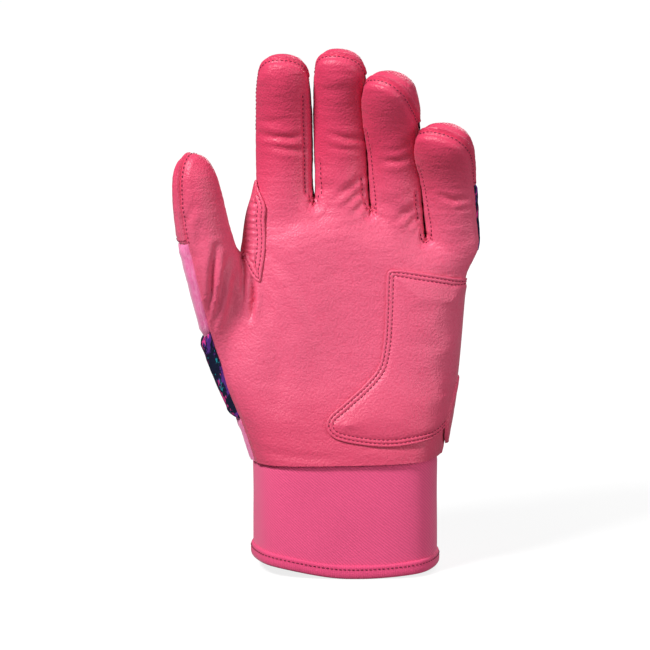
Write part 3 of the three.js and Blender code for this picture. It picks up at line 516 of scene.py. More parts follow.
@material_of("sheepskin_leather")
def sheepskin_material(tree, where):
    """Drummed sheepskin: a soft pebbled grain with shallow pores, matt, with painted shade that deepens its
    colour towards the wrist and the fingers and in the grain's valleys.
    """
    warp = add_node(tree, "ShaderNodeTexNoise", {"Vector": where, "Scale": per_mm(2.2), "Detail": 2.0})
    bent = add_node(tree, "ShaderNodeVectorMath", {
        0: warp.outputs["Color"], 1: (GRAIN_WARP * MM,) * 3}, operation="MULTIPLY")
    moved = add_node(tree, "ShaderNodeVectorMath", {0: where, 1: bent.outputs["Vector"]}, operation="ADD")
    grain = add_node(tree, "ShaderNodeTexVoronoi", {
        "Vector": moved.outputs["Vector"], "Scale": per_mm(0.8)}, feature="SMOOTH_F1")
    fold = add_node(tree, "ShaderNodeTexNoise", {"Vector": where, "Scale": per_mm(4.5), "Detail": 5.0})
    tone = add_node(tree, "ShaderNodeTexNoise", {"Vector": where, "Scale": per_mm(26), "Detail": 3.0})
    height = add_node(tree, "ShaderNodeMath", {
        0: grain.outputs["Distance"], 1: GRAIN_DEPTH, 2: fold.outputs["Fac"]}, operation="MULTIPLY_ADD")
    bump = add_node(tree, "ShaderNodeBump", {
        "Strength": 0.26, "Distance": 0.0004, "Height": height.outputs[0]})
    height_up = add_node(tree, "ShaderNodeSeparateXYZ", {"Vector": where}).outputs["Z"]
    uneven = add_node(tree, "ShaderNodeMath", {
        0: tone.outputs["Fac"], 1: LEATHER_DRIFT * MM, 2: height_up}, operation="MULTIPLY_ADD")
    # Painted shade: the colour deepens towards the fingers and the wrist, along a height that the tone noise
    # shifts
    finger = add_node(tree, "ShaderNodeMapRange", {
        "Value": uneven.outputs[0], "From Min": LEATHER_TURN[0] * MM, "From Max": LEATHER_TURN[1] * MM,
        "To Max": FINGER_PAINTED_SHADE}, interpolation_type="SMOOTHSTEP")
    wrist = add_node(tree, "ShaderNodeMapRange", {
        "Value": uneven.outputs[0], "From Min": LEATHER_WRIST[0] * MM, "From Max": LEATHER_WRIST[1] * MM,
        "To Min": WRIST_PAINTED_SHADE, "To Max": 0.0}, interpolation_type="SMOOTHSTEP")
    share = add_node(tree, "ShaderNodeMath", {
        0: finger.outputs["Result"], 1: wrist.outputs["Result"]}, operation="MAXIMUM")
    body = add_node(tree, "ShaderNodeMix", {
        0: share.outputs[0], 6: colour("leather"), 7: colour("leather_painted_shade")}, data_type="RGBA")
    # Painted shade: the shaded leather colour fills the grain's valleys
    pores = add_node(tree, "ShaderNodeMapRange", {
        "Value": grain.outputs["Distance"], "From Min": 0.35, "From Max": 0.8, "To Max": PORE_PAINTED_SHADE})
    surface = add_node(tree, "ShaderNodeMix", {
        0: pores.outputs["Result"], 6: body.outputs[2], 7: colour("leather_painted_shade")}, data_type="RGBA")
    rough = add_node(tree, "ShaderNodeMapRange", {
        "Value": fold.outputs["Fac"], "To Min": 0.42, "To Max": 0.56})
    return {
        "Base Color": surface.outputs[2], "Roughness": rough.outputs["Result"],
        "Normal": bump.outputs["Normal"], "IOR": 1.45, "Specular IOR Level": 0.6,
        "Sheen Weight": 0.1, "Sheen Roughness": 0.45}


@material_of("heathered_stretch_knit")
def heather_material(tree, where):
    """Brushed polyester knit: two shades of yarn in short vertical streaks, soft and without gloss."""
    drawn = add_node(tree, "ShaderNodeMapping", {"Vector": where, "Scale": (1.0, 1.0, 0.3)})
    streak = add_node(tree, "ShaderNodeTexNoise", {
        "Vector": drawn.outputs["Vector"], "Scale": per_mm(1.1), "Detail": 4.0, "Roughness": 0.7})
    loops = add_node(tree, "ShaderNodeTexVoronoi", {"Vector": where, "Scale": per_mm(0.8)})
    share = add_node(tree, "ShaderNodeMapRange", {
        "Value": streak.outputs["Fac"], "From Min": 0.38, "From Max": 0.66})
    yarn = add_node(tree, "ShaderNodeMix", {
        0: share.outputs["Result"], 6: colour("stretch"), 7: colour("fleck")}, data_type="RGBA")
    bump = add_node(tree, "ShaderNodeBump", {
        "Strength": 0.35, "Distance": 0.0003, "Height": loops.outputs["Distance"]})
    return {
        "Base Color": yarn.outputs[2], "Roughness": 0.85, "Normal": bump.outputs["Normal"],
        "Specular IOR Level": 0.25, "Sheen Weight": 0.3, "Sheen Roughness": 0.5}


@material_of("printed_stretch_jersey")
def print_material(tree, where):
    """Sublimated stretch jersey: loose brushed flecks in three colours on a dark ground, in a fine knit."""
    turned = add_node(tree, "ShaderNodeMapping", {
        "Vector": where, "Rotation": (0.0, math.radians(28), 0.0), "Scale": (1.0, 1.0, 0.42)})
    shade = colour("ground")
    for size, name, low, offset in PRINT_LAYERS:
        place = add_node(tree, "ShaderNodeVectorMath", {
            0: turned.outputs["Vector"], 1: (offset, offset, offset)}, operation="ADD")
        patch = add_node(tree, "ShaderNodeTexNoise", {
            "Vector": place.outputs["Vector"], "Scale": per_mm(size), "Detail": 5.0, "Roughness": 0.62})
        edge = add_node(tree, "ShaderNodeMapRange", {
            "Value": patch.outputs["Fac"], "From Min": low, "From Max": low + PRINT_EDGE})
        mixed = add_node(tree, "ShaderNodeMix", {
            0: edge.outputs["Result"], 6: shade, 7: colour(name)}, data_type="RGBA")
        shade = mixed.outputs[2]
    loops = add_node(tree, "ShaderNodeTexVoronoi", {"Vector": where, "Scale": per_mm(0.75)})
    bump = add_node(tree, "ShaderNodeBump", {
        "Strength": 0.35, "Distance": 0.0003, "Height": loops.outputs["Distance"]})
    return {
        "Base Color": shade, "Roughness": 0.85, "Normal": bump.outputs["Normal"], "Specular IOR Level": 0.12}


@material_of("fourchette_knit")
def fourchette_material(tree, where):
    """Power-net knit of the finger gussets: dark, matt, with fine ribs along the finger."""
    rib = add_node(tree, "ShaderNodeTexWave", {
        "Vector": where, "Scale": wave_per_mm(0.9), "Distortion": 0.6}, bands_direction="Y")
    yarn = add_node(tree, "ShaderNodeMix", {
        0: rib.outputs["Fac"], 6: colour("fourchette"), 7: colour("fourchette", 1.7)}, data_type="RGBA")
    bump = add_node(tree, "ShaderNodeBump", {
        "Strength": 0.4, "Distance": 0.0003, "Height": rib.outputs["Fac"]})
    return {
        "Base Color": yarn.outputs[2], "Roughness": 0.9, "Normal": bump.outputs["Normal"],
        "Specular IOR Level": 0.12}


@material_of("twill_faced_neoprene", flat=True)
def twill_material(tree, where):
    """Neoprene faced with twill: fine diagonal ribs run down to the right, with a dull sheen on each yarn."""
    turned = add_node(tree, "ShaderNodeMapping", {"Vector": where, "Rotation": (0.0, 0.0, math.radians(-38))})
    rib = add_node(tree, "ShaderNodeTexWave", {
        "Vector": turned.outputs["Vector"], "Scale": wave_per_mm(1.0), "Distortion": 0.7,
        "Detail": 1.0, "Detail Scale": 1.5}, bands_direction="Y")
    tone = add_node(tree, "ShaderNodeTexNoise", {"Vector": where, "Scale": per_mm(9), "Detail": 3.0})
    body = add_node(tree, "ShaderNodeMix", {
        0: tone.outputs["Fac"], 6: colour("cuff"), 7: colour("cuff", 1.06)}, data_type="RGBA")
    yarn = add_node(tree, "ShaderNodeMix", {
        0: rib.outputs["Fac"], 6: colour("cuff", 0.86), 7: body.outputs[2]}, data_type="RGBA")
    bump = add_node(tree, "ShaderNodeBump", {
        "Strength": 0.35, "Distance": 0.0003, "Height": rib.outputs["Fac"]})
    return {
        "Base Color": yarn.outputs[2], "Roughness": 0.72, "Normal": bump.outputs["Normal"],
        "Specular IOR Level": 0.3, "Sheen Weight": 0.2, "Sheen Roughness": 0.5}


@material_of("grosgrain_binding", flat=True)
def binding_material(tree, where):
    """Folded polyester binding: a close grosgrain with fine ribs across its width."""
    rib = add_node(tree, "ShaderNodeTexWave", {
        "Vector": where, "Scale": wave_per_mm(0.8), "Distortion": 0.4}, bands_direction="X")
    tone = add_node(tree, "ShaderNodeTexNoise", {"Vector": where, "Scale": per_mm(5), "Detail": 3.0})
    shade = add_node(tree, "ShaderNodeMath", {
        0: rib.outputs["Fac"], 1: tone.outputs["Fac"]}, operation="MULTIPLY")
    yarn = add_node(tree, "ShaderNodeMix", {
        0: shade.outputs[0], 6: colour("binding"), 7: colour("binding", 0.78)}, data_type="RGBA")
    bump = add_node(tree, "ShaderNodeBump", {
        "Strength": 0.3, "Distance": 0.0003, "Height": rib.outputs["Fac"]})
    return {
        "Base Color": yarn.outputs[2], "Roughness": 0.75, "Normal": bump.outputs["Normal"],
        "Specular IOR Level": 0.3, "Sheen Weight": 0.2}


@material_of("bonded_thread")
def thread_material(tree, where):
    """Bonded nylon thread: tight twisted plies with a low satin shine."""
    ply = add_node(tree, "ShaderNodeTexNoise", {"Vector": where, "Scale": per_mm(0.4), "Detail": 2.0})
    yarn = add_node(tree, "ShaderNodeMix", {
        0: ply.outputs["Fac"], 6: colour("thread", 0.62), 7: colour("thread")}, data_type="RGBA")
    return {"Base Color": yarn.outputs[2], "Roughness": 0.55, "Specular IOR Level": 0.4}


@material_of("hook_and_loop_tape")
def tape_material(tree, where):
    """Hook and loop tape: a dense pile of tiny loops, with painted shade between them."""
    pile = add_node(tree, "ShaderNodeTexVoronoi", {"Vector": where, "Scale": per_mm(1.1)})
    # Painted shade: the colour darkens between the loops
    yarn = add_node(tree, "ShaderNodeMix", {
        0: pile.outputs["Distance"], 6: colour("tape"), 7: colour("tape", 0.4)}, data_type="RGBA")
    bump = add_node(tree, "ShaderNodeBump", {
        "Strength": 0.8, "Distance": 0.0006, "Height": pile.outputs["Distance"]}, invert=True)
    return {
        "Base Color": yarn.outputs[2], "Roughness": 0.9, "Normal": bump.outputs["Normal"],
        "Sheen Weight": 0.3}


@material_of("moulded_rubber")
def rubber_material(tree, where):
    """Moulded soft rubber: even colour with a fine sparked grain from the mould."""
    grit = add_node(tree, "ShaderNodeTexNoise", {"Vector": where, "Scale": per_mm(0.5), "Detail": 3.0})
    tint = add_node(tree, "ShaderNodeMix", {
        0: grit.outputs["Fac"], 6: colour("tab"), 7: colour("tab", 0.85)}, data_type="RGBA")
    rough = add_node(tree, "ShaderNodeMapRange", {
        "Value": grit.outputs["Fac"], "To Min": 0.38, "To Max": 0.55})
    bump = add_node(tree, "ShaderNodeBump", {
        "Strength": 0.2, "Distance": 0.0002, "Height": grit.outputs["Fac"]})
    return {
        "Base Color": tint.outputs[2], "Roughness": rough.outputs["Result"], "Normal": bump.outputs["Normal"]}


@material_of("white_paper")
def paper_material(tree, where):
    """White paper of the floor, brighter to the camera, so that it reads as white and keeps the shadow."""
    seen = add_node(tree, "ShaderNodeLightPath").outputs["Is Camera Ray"]
    away = add_node(tree, "ShaderNodeVectorMath", {0: where}, operation="LENGTH")
    white = add_node(tree, "ShaderNodeMapRange", {
        "Value": away.outputs["Value"], "From Min": GLOW_FROM[0], "To Min": GLOW_FROM[1],
        "From Max": GLOW_TO[0], "To Max": GLOW_TO[1]})
    glow = add_node(tree, "ShaderNodeMath", {0: seen, 1: white.outputs["Result"]}, operation="MULTIPLY")
    return {
        "Base Color": linear(PAPER_GREY), "Roughness": 0.9, "Specular IOR Level": 0.1,
        "Emission Color": (1, 1, 1, 1), "Emission Strength": glow.outputs[0]}


# Form of the hand: a cage extruded ring by ring

@functools.cache
def knuckle_layout():
    """Middle of each finger, then place and drop of each crotch, across the knuckles."""
    width = sum(finger["width"] + finger["gap"] for finger in FINGERS) - FINGERS[0]["gap"]
    edge = KNUCKLE_SHIFT - width / 2 - FINGERS[0]["gap"]
    middles, crotches = [], []
    for finger in FINGERS:
        crotches.append(edge + finger["gap"] / 2)
        middles.append(edge + finger["gap"] + finger["width"] / 2)
        edge += finger["gap"] + finger["width"]
    crotches.append(edge + LAST_GAP / 2)
    drops = [finger["drop"] for finger in FINGERS] + [LAST_DROP]
    return middles, crotches, drops


def column_spot(column):
    """Where a palm column ends at the finger roots (X, Z)."""
    middles, crotches, drops = knuckle_layout()
    finger = column // 2
    if column % 2 == 0:
        return crotches[finger], FINGER_CROTCH - drops[finger]
    return middles[finger], FINGER_CROTCH - (drops[finger] + drops[finger + 1]) / 2


def palm_spot(column, row, side):
    crotches = knuckle_layout()[1]
    share = ROWS[row]
    top_x, top_z = column_spot(column)
    u = (column - (COLUMNS - 1) / 2) / ((COLUMNS - 1) / 2)
    at_wrist = (1 + math.sin(u * WRIST_SPREAD) / math.sin(WRIST_SPREAD)) / 2
    at_knuckles = (top_x - crotches[0]) / (crotches[-1] - crotches[0])
    across = lerp(at_wrist, at_knuckles, smoothstep(share, 0, 1))
    x = lerp(EDGE_ROUND - THUMB_SIDE[row], PINKY_SIDE[row] - EDGE_ROUND, across)
    z = lerp(CUFF_HEIGHT + WRIST_RISE * u / 2, top_z, share)
    if share < MID_PALM:
        wrist = CUFF_DEPTH / 2 + LEATHER + CLEAR
        depth = lerp(wrist, PALM_DEPTH / 2, smoothstep(share, HEEL_FROM, MID_PALM))
    else:
        depth = lerp(PALM_DEPTH / 2, KNUCKLE_DEPTH / 2, smoothstep(share, MID_PALM, 1))
    roundness = (1 - abs(u * SIDE_SHARE) ** SECTION_POWER) ** (1 / SECTION_POWER)
    dip = HOLLOW * math.sin(math.pi * share) * math.exp(-((u / HOLLOW_SPREAD) ** 2)) if side < 0 else 0
    return Vector((x, side * (depth * roundness * FULLNESS - dip), z))


def ring_order(front, right, back, left):
    return [*front, right, *reversed(back), left]


def palm_ring(row):
    front = [palm_spot(column, row, -1) for column in range(COLUMNS)]
    back = [palm_spot(column, row, 1) for column in range(COLUMNS)]
    left, right = (front[0] + back[0]) / 2, (front[-1] + back[-1]) / 2
    left.x = -THUMB_SIDE[row] - EDGE_ROUND / 3
    right.x = PINKY_SIDE[row] + EDGE_ROUND / 3
    right.y -= PRINT_FORWARD * smoothstep(ROWS[row], MID_PALM, 1)
    return ring_order(front, right, back, left)


def root_ring():
    """The last ring of the palm at the finger roots, and the webs between the fingers."""
    crotches, drops = knuckle_layout()[1:]
    rows = []
    for side in (-1, 1):
        row = []
        for column in range(COLUMNS):
            x, z = column_spot(column)
            depth = FINGERS[min(column // 2, len(FINGERS) - 1)]["depth"] / 2
            row.append(Vector((x, side * depth * (ROOT_SWELL if column % 2 else CROTCH_PINCH), z)))
        rows.append(row)
    outward = [-OUTER_WEB, 0, 0, 0, 0]
    webs = [Vector((x + o, 0, FINGER_CROTCH - drop)) for x, o, drop in zip(crotches, outward, drops)]
    webs[-1].y = -PRINT_FORWARD
    return ring_order(rows[0], webs[-1], rows[1], webs[0]), webs[1:-1]


def section_ring(centre, across, facing, half_width, half_depth, turn=0):
    """Eight points round a finger, a little outside it, because subdivision draws them in."""
    shrink = 2 / 3 + math.sqrt(0.5) / 3
    angles = [math.radians(angle - turn * share) for angle, share in zip(SECTION_ANGLES, TURN_SHARES)]
    wide, deep = across * (half_width / shrink), facing * (half_depth / shrink)
    return [centre + wide * math.sin(angle) + deep * math.cos(angle) for angle in angles]


def finger_pitch(finger, share):
    bent = sum(b * smoothstep(share, *span) for b, span in zip(finger["bends"], KNUCKLES))
    return math.radians(finger["pitch"] + bent)


def finger_spot(number, share):
    """A point on a finger's middle line, which curls towards the palm."""
    finger = FINGERS[number]
    middles, _, drops = knuckle_layout()
    at = Vector((middles[number], 0, FINGER_CROTCH - (drops[number] + drops[number + 1]) / 2))
    lean = math.radians(finger["lean"])
    step = finger["length"] * share / LINE_STEPS
    for i in range(LINE_STEPS):
        pitch = finger_pitch(finger, share * (i + 0.5) / LINE_STEPS)
        ahead = (-math.cos(pitch) * math.sin(lean), -math.sin(pitch), math.cos(pitch) * math.cos(lean))
        at += Vector(ahead) * step
    return at


def thumb_spot(section):
    middle = THUMB_ROOT_ROW + 1
    return Vector((
        -THUMB_SIDE[middle] - section["out"], -section["forward"],
        CUFF_HEIGHT + PALM_LENGTH * ROWS[middle] + section["up"]))


def palm_panel(row, column):
    if column >= ROOT_FIRST and row in (THUMB_ROOT_ROW, THUMB_ROOT_ROW + 1):
        return None
    if column <= PALM_LAST or (column == PALM_FOLD and row > THUMB_ROOT_ROW):
        return "palm_leather"
    if column <= ULNAR_LAST and row < ULNAR_ROWS:
        return "ulnar_panel"
    if column >= RADIAL_FIRST and row == 0:
        return "radial_gusset"
    return "back_panel"


def finger_panel(number, row, column):
    name = FINGER_NAMES[number]
    backing = f"{name}_back_stretch" if row < STRETCH_ROWS else f"{name}_back_cap"
    if column == OUTER_FACE and number < len(FINGERS) - 1 and row < GUSSET_SHORT.get(name, GUSSET_ROWS):
        return f"{name}_fourchette_outer"
    if column == INNER_FACE and number > 0 and row < GUSSET_ROWS:
        return f"{name}_fourchette_inner"
    return f"{name}_front" if column in FRONT_FACES else backing


def thumb_panel(row, column):
    if column < THUMB_FRONT_FACES:
        return "palm_leather" if row == 0 else "thumb_front"
    return THUMB_BACKS[row]


def extrude_ring(bm, ring, spots, panels):
    """Extrudes a closed ring of vertices to new spots; a panel of None leaves a face to delete."""
    count = len(ring)
    edges = [bm.edges.get((ring[i], ring[(i + 1) % count])) for i in range(count)]
    made = bmesh.ops.extrude_edge_only(bm, edges=edges)["geom"]
    fresh = {item for item in made if isinstance(item, bmesh.types.BMVert)}
    faces = {item for item in made if isinstance(item, bmesh.types.BMFace)}
    new_ring = []
    for vertex, spot in zip(ring, spots):
        twin = next(e.other_vert(vertex) for e in vertex.link_edges if e.other_vert(vertex) in fresh)
        twin.co = spot
        new_ring.append(twin)
    holes = []
    for edge, panel in zip(edges, panels):
        face = next(f for f in edge.link_faces if f in faces)
        if panel is None:
            holes.append(face)
        else:
            face.material_index = NUMBER[panel]
    return new_ring, holes


def cap_ring(bm, ring, tip, front, back):
    """Closes a ring of eight with four patches round its tip."""
    spots = (*ring, bm.verts.new(tip))
    for corners, panel in zip(TIP_FACES, (front, front, back, back)):
        bm.faces.new([spots[i] for i in corners]).material_index = NUMBER[panel]


def build_palm(bm):
    """Extrudes the palm from the wrist; returns its rings, the last one at the finger roots."""
    first = bmesh.ops.create_circle(bm, segments=2 * COLUMNS + 2, radius=1)["verts"]
    for vertex, spot in zip(first, palm_ring(0)):
        vertex.co = spot
    rings, holes = [first], []
    targets = [palm_ring(row) for row in range(1, len(ROWS))] + [root_ring()[0]]
    for row, spots in enumerate(targets):
        panels = [palm_panel(row, column) for column in range(2 * COLUMNS + 2)]
        ring, gaps = extrude_ring(bm, rings[-1], spots, panels)
        rings.append(ring)
        holes += gaps
    bmesh.ops.delete(bm, geom=holes, context="FACES")
    return rings


def turned(across, facing, angle):
    """Two directions at right angles, turned from the first towards the second."""
    cos, sin = math.cos(angle), math.sin(angle)
    return across * cos + facing * sin, facing * cos - across * sin


def finger_directions(finger, share):
    """Across and out of the front of a finger at a share of its length."""
    lean = math.radians(finger["lean"])
    level = Vector((math.cos(lean), 0, math.sin(lean)))
    pitch = finger_pitch(finger, share)
    ahead = Vector((math.sin(pitch) * math.sin(lean), -math.cos(pitch), -math.sin(pitch) * math.cos(lean)))
    return turned(level, ahead, math.radians(finger["twist"]) * smoothstep(share, 0, TWIST_END))


def build_fingers(bm, roots):
    """Extrudes each finger from its loop of the root ring and the webs."""
    front, back = roots[:COLUMNS], roots[2 * COLUMNS:COLUMNS:-1]
    webs = [roots[-1]]
    for number, spot in enumerate(root_ring()[1], 1):
        web = bm.verts.new(spot)
        bm.edges.new((front[2 * number], web))
        bm.edges.new((web, back[2 * number]))
        webs.append(web)
    webs.append(roots[COLUMNS])
    for number, finger in enumerate(FINGERS):
        c = 2 * number
        ring = [front[c], front[c + 1], front[c + 2], webs[number + 1],
                back[c + 2], back[c + 1], back[c], webs[number]]
        for row, (share, width) in enumerate(zip(STATIONS, WIDTHS)):
            across, facing = finger_directions(finger, share)
            spots = section_ring(
                finger_spot(number, share), across, facing, finger["width"] / 2 * width,
                finger["depth"] / 2 * width, CAP_TURNS[finger["name"]][row])
            panels = [finger_panel(number, row, column) for column in range(len(ring))]
            ring, _ = extrude_ring(bm, ring, spots, panels)
        name = finger["name"]
        tip = finger_spot(number, TIP_SHARE) + facing * TIP_ROLLS[name]
        cap_ring(bm, ring, tip, f"{name}_front", f"{name}_back_cap")


def build_thumb(bm, rings):
    """Extrudes the thumb from the gap of two rows at the side of the palm."""
    low, mid, high = rings[THUMB_ROOT_ROW:THUMB_ROOT_ROW + 3]
    ring = [low[0], mid[0], high[0], high[-1], high[-2], mid[-2], low[-2], low[-1]]
    sections = []
    for section in THUMB_SECTIONS:
        tilt = math.radians(section["tilt"])
        flat = Vector((math.cos(tilt), 0, math.sin(tilt)))
        upward = Vector((-math.sin(tilt), -math.sin(THUMB_FORWARD), math.cos(tilt))).normalized()
        ahead = flat.cross(upward).normalized()
        across, facing = turned(flat, ahead, -THUMB_TWIST)
        sections.append(section_ring(
            thumb_spot(section), across, facing, section["width"] / 2, section["depth"] / 2))
    for i in THUMB_BACK:
        sections[1][i] = sections[1][i].lerp(sections[2][i], CAP_RISE)
    for row, spots in enumerate(sections):
        ring, _ = extrude_ring(bm, ring, spots, [thumb_panel(row, column) for column in range(len(ring))])
    cap_ring(bm, ring[1:] + ring[:1], thumb_spot(THUMB_TIP), "thumb_front", "thumb_back_cap")


def unit(vectors):
    """Rows of an array, each made one long."""
    return vectors / np.linalg.norm(vectors, axis=1, keepdims=True)


@dataclass
class Skin:
    """The glove's outer surface: points, four-sided faces and the panel number of each face."""

    points: np.ndarray
    quads: np.ndarray
    panels: np.ndarray

    @functools.cached_property
    def normals(self):
        a, b, c, d = (self.points[self.quads[:, i]] for i in range(4))
        faces = np.cross(c - a, d - b)
        normals = np.zeros_like(self.points)
        for i in range(4):
            np.add.at(normals, self.quads[:, i], faces)
        return unit(normals)

    @functools.cached_property
    def tree(self):
        return BVHTree.FromPolygons(self.points.tolist(), self.quads.tolist())


def subdivided(mesh, levels, to_limit):
    """This mesh after Catmull-Clark subdivision."""
    holder = place_object("cage", mesh)
    finer = holder.modifiers.new("Subdivision", "SUBSURF")
    finer.levels = finer.render_levels = levels
    finer.use_limit_surface = to_limit
    apply_modifiers(holder)
    fine = holder.data
    bpy.data.objects.remove(holder)
    return fine


def read_values(items, key, each=1, kind=np.int64):
    """Values of all items of a mesh in one array."""
    values = np.empty(len(items) * each, dtype=kind)
    items.foreach_get(key, values)
    return values


def lower_stretch(mesh):
    """Below the thumb the printed back comes forward to the palm."""
    stretch = NUMBER["thumb_stretch_lower"]
    for face in mesh.polygons:
        if face.material_index == stretch and face.center.z < CUFF_HEIGHT + PRINT_TOP:
            face.material_index = NUMBER["back_panel"]


@functools.cache
def smooth_skin():
    """The cage, subdivided to its limit surface."""
    bm = bmesh.new()
    rings = build_palm(bm)
    build_fingers(bm, rings[-1])
    build_thumb(bm, rings)
    bmesh.ops.recalc_face_normals(bm, faces=bm.faces)
    coarse = subdivided(to_mesh(bm, "cage"), 1, False)
    lower_stretch(coarse)
    fine = subdivided(coarse, SKIN_LEVELS - 1, True)
    fine.name = SKIN_MESH
    points = read_values(fine.vertices, "co", 3, float).reshape(-1, 3)
    quads = read_values(fine.loops, "vertex_index").reshape(-1, 4)
    return Skin(points, quads, read_values(fine.polygons, "material_index"))


# Seams between panels

def edge_pairs(quads):
    """The edges of all faces in turn, as sorted pairs of points."""
    return np.sort(np.stack([quads, np.roll(quads, -1, axis=1)], axis=-1).reshape(-1, 2), axis=1)


@functools.cache
def panel_edges():
    """Edges between two panels: their two points, and the faces on both sides."""
    skin = smooth_skin()
    pairs = edge_pairs(skin.quads)
    owners = np.repeat(np.arange(len(skin.quads)), 4)
    order = np.lexsort((pairs[:, 1], pairs[:, 0]))
    pairs, owners = pairs[order], owners[order]
    twins = np.flatnonzero((pairs[1:] == pairs[:-1]).all(axis=1))
    ends, one, other = pairs[twins], owners[twins], owners[twins + 1]
    apart = skin.panels[one] != skin.panels[other]
    return ends[apart], np.stack([one, other], axis=1)[apart]


def wrist_border():
    """Points of the open edge at the wrist."""
    found, counts = np.unique(edge_pairs(smooth_skin().quads), axis=0, return_counts=True)
    return np.unique(found[counts == 1])


def body_of(panel):
    if panel in THUMB_PANELS:
        return "thumb"
    return next((name for name in FINGER_NAMES if panel.startswith(name)), "hand")


def distance_from(spots):
    """How far each point of the smooth skin lies from the nearest of some spots."""
    tree = KDTree(len(spots))
    for i, spot in enumerate(spots):
        tree.insert(spot, i)
    tree.balance()
    return np.array([tree.find(point)[2] for point in smooth_skin().points])


def seam_distance(wanted):
    """How far each point of the skin lies from the nearest seam between two panels that are wanted."""
    skin = smooth_skin()
    ends, faces = panel_edges()
    pairs = [frozenset((PANELS[skin.panels[a]], PANELS[skin.panels[b]])) for a, b in faces]
    sewn = ends[[wanted(pair) for pair in pairs]]
    return distance_from(np.concatenate([skin.points[np.unique(sewn)], skin.points[sewn].mean(axis=1)]))


def is_sewn(pair):
    return pair not in CONTINUOUS


def is_tip_seam(pair):
    return any(pair == {f"{name}_front", f"{name}_back_cap"} for name in (*FINGER_NAMES, "thumb"))


def panel_points(names):
    """Numbers of the points of these panels."""
    skin = smooth_skin()
    return np.unique(skin.quads[np.isin(skin.panels, [NUMBER[name] for name in names])])


def photo_plane(points):
    """Places of points as seen from the front, in millimetres on the photograph."""
    seen = points[:, 2] * math.cos(CAMERA_ELEVATION) + points[:, 1] * math.sin(CAMERA_ELEVATION)
    return np.stack([points[:, 0], seen], axis=1)


def line_distance(places, line):
    """Distance of each place from a line of points, and where along it the nearest spot lies, from 0 to 1."""
    best = np.full(len(places), np.inf)
    along = np.zeros(len(places))
    lengths = np.linalg.norm(np.diff(line, axis=0), axis=1)
    run = 0.0
    for start, end, length in zip(line[:-1], line[1:], lengths):
        share = np.clip((places - start) @ (end - start) / length ** 2, 0, 1)
        gap = np.linalg.norm(places - (start + share[:, None] * (end - start)), axis=1)
        nearer = gap < best
        best = np.where(nearer, gap, best)
        along = np.where(nearer, (run + share * length) / lengths.sum(), along)
        run += length
    return best, along


def hill(gap, at, width):
    """A smooth rise of height one, at a distance from a line."""
    return np.exp(-(((gap - at) / width) ** 2))


def crease_field(skin):
    """Creases and folds of the worn leather on the palm side."""
    places = photo_plane(skin.points)
    toward = np.array([0, -math.cos(CAMERA_ELEVATION), math.sin(CAMERA_ELEVATION)])
    facing = smoothstep(skin.normals @ toward, *CREASE_FACING)
    field = np.zeros(len(places))
    for pixels, depth, width in CREASES:
        line = np.array([((x - IMAGE_ZERO[0]) * PIXEL_MM, (IMAGE_ZERO[1] - y) * PIXEL_MM) for x, y in pixels])
        gap, along = line_distance(places, line)
        fade = np.sin(math.pi * np.clip(along, CREASE_ENDS, 1 - CREASE_ENDS)) ** CREASE_FADE
        puff = FOLD_PUFF * hill(gap, FOLD_AT * width, FOLD_WIDTH * width)
        field += depth * fade * (puff - hill(gap, 0, width))
    return field * facing


def noise_field(points, size, stretch):
    """Smooth noise between about -1 and 1 with bumps of this size in millimetres."""
    scaled = points / (size * np.array(stretch))
    return np.array([noise.noise(Vector(p)) for p in scaled])


def swollen(skin):
    """The skin with its fingertips filled out sideways."""
    points = skin.points.copy()
    shares = np.linspace(0, TIP_SHARE, LINE_STEPS)
    for name, (inner, outer) in SWELLS.items():
        number = FINGER_NAMES.index(name)
        mine = panel_points([p for p in PANELS if p.startswith(name)])
        line = np.array([finger_spot(number, share) for share in shares])
        nearest = np.linalg.norm(points[mine, None] - line, axis=2).argmin(axis=1)
        across = np.clip((points[mine, 0] - line[nearest, 0]) / (FINGERS[number]["width"] / 2), -1, 1)
        full = smoothstep(shares[nearest], SWELL_FROM, SWELL_FULL)
        points[mine, 0] += full * np.where(across < 0, inner, outer) * across
    return Skin(points, skin.quads, skin.panels)


def seam_field(gap, depth):
    """A seam draws the leather in, with a rolled lip and a dip under the stitches beside it."""
    return depth * sum(share * hill(gap, at, width) for share, at, width in SEAM_PROFILE)


@functools.cache
def worn_skin():
    """The smooth skin with seams drawn in, creases, and the unevenness of worn leather and cloth."""
    skin = smooth_skin()
    gap = seam_distance(is_sewn)
    moved = seam_field(gap, sizes()["seam_depth"]) + crease_field(skin)
    for height, length, stretch in UNEVENNESS:
        moved += height * noise_field(skin.points, length, stretch)
    for panel, (height, top) in PUFFS.items():
        mine = panel_points([panel])
        below = 1 - smoothstep(skin.points[mine, 2], top - PUFF_FADE, top)
        moved[mine] += height * below * smoothstep(gap[mine], 0, PUFF_RUN)
    back = panel_points(["back_panel"])
    beside = smoothstep(-skin.points[back, 0], *STRIP_SIDE)
    below = 1 - smoothstep(skin.points[back, 2], *STRIP_TOP)
    moved[back] += STRIP_PUFF * (beside * below) * smoothstep(gap[back], 0, PUFF_RUN)
    caps = panel_points([p for p in PANELS if p.endswith("_back_cap")])
    tip_gap = seam_distance(is_tip_seam)[caps]
    moved[caps] += TIP_LIP * hill(tip_gap, TIP_LIP_AT, TIP_LIP_WIDTH)
    trim_gap = distance_from(np.concatenate([line for lines in trim_lines().values() for line in lines]))
    moved += TRIM_ROLL * hill(trim_gap, 2 * TRIM_WIDTH, TRIM_WIDTH) - TRIM_DIP * hill(trim_gap, 0, TRIM_WIDTH)
    full = swollen(skin)
    return Skin(full.points + full.normals * moved[:, None], skin.quads, skin.panels)


def run_along(line):
    """Distance along a line at each of its points."""
    return np.concatenate([[0], np.cumsum(np.linalg.norm(np.diff(line, axis=0), axis=1))])


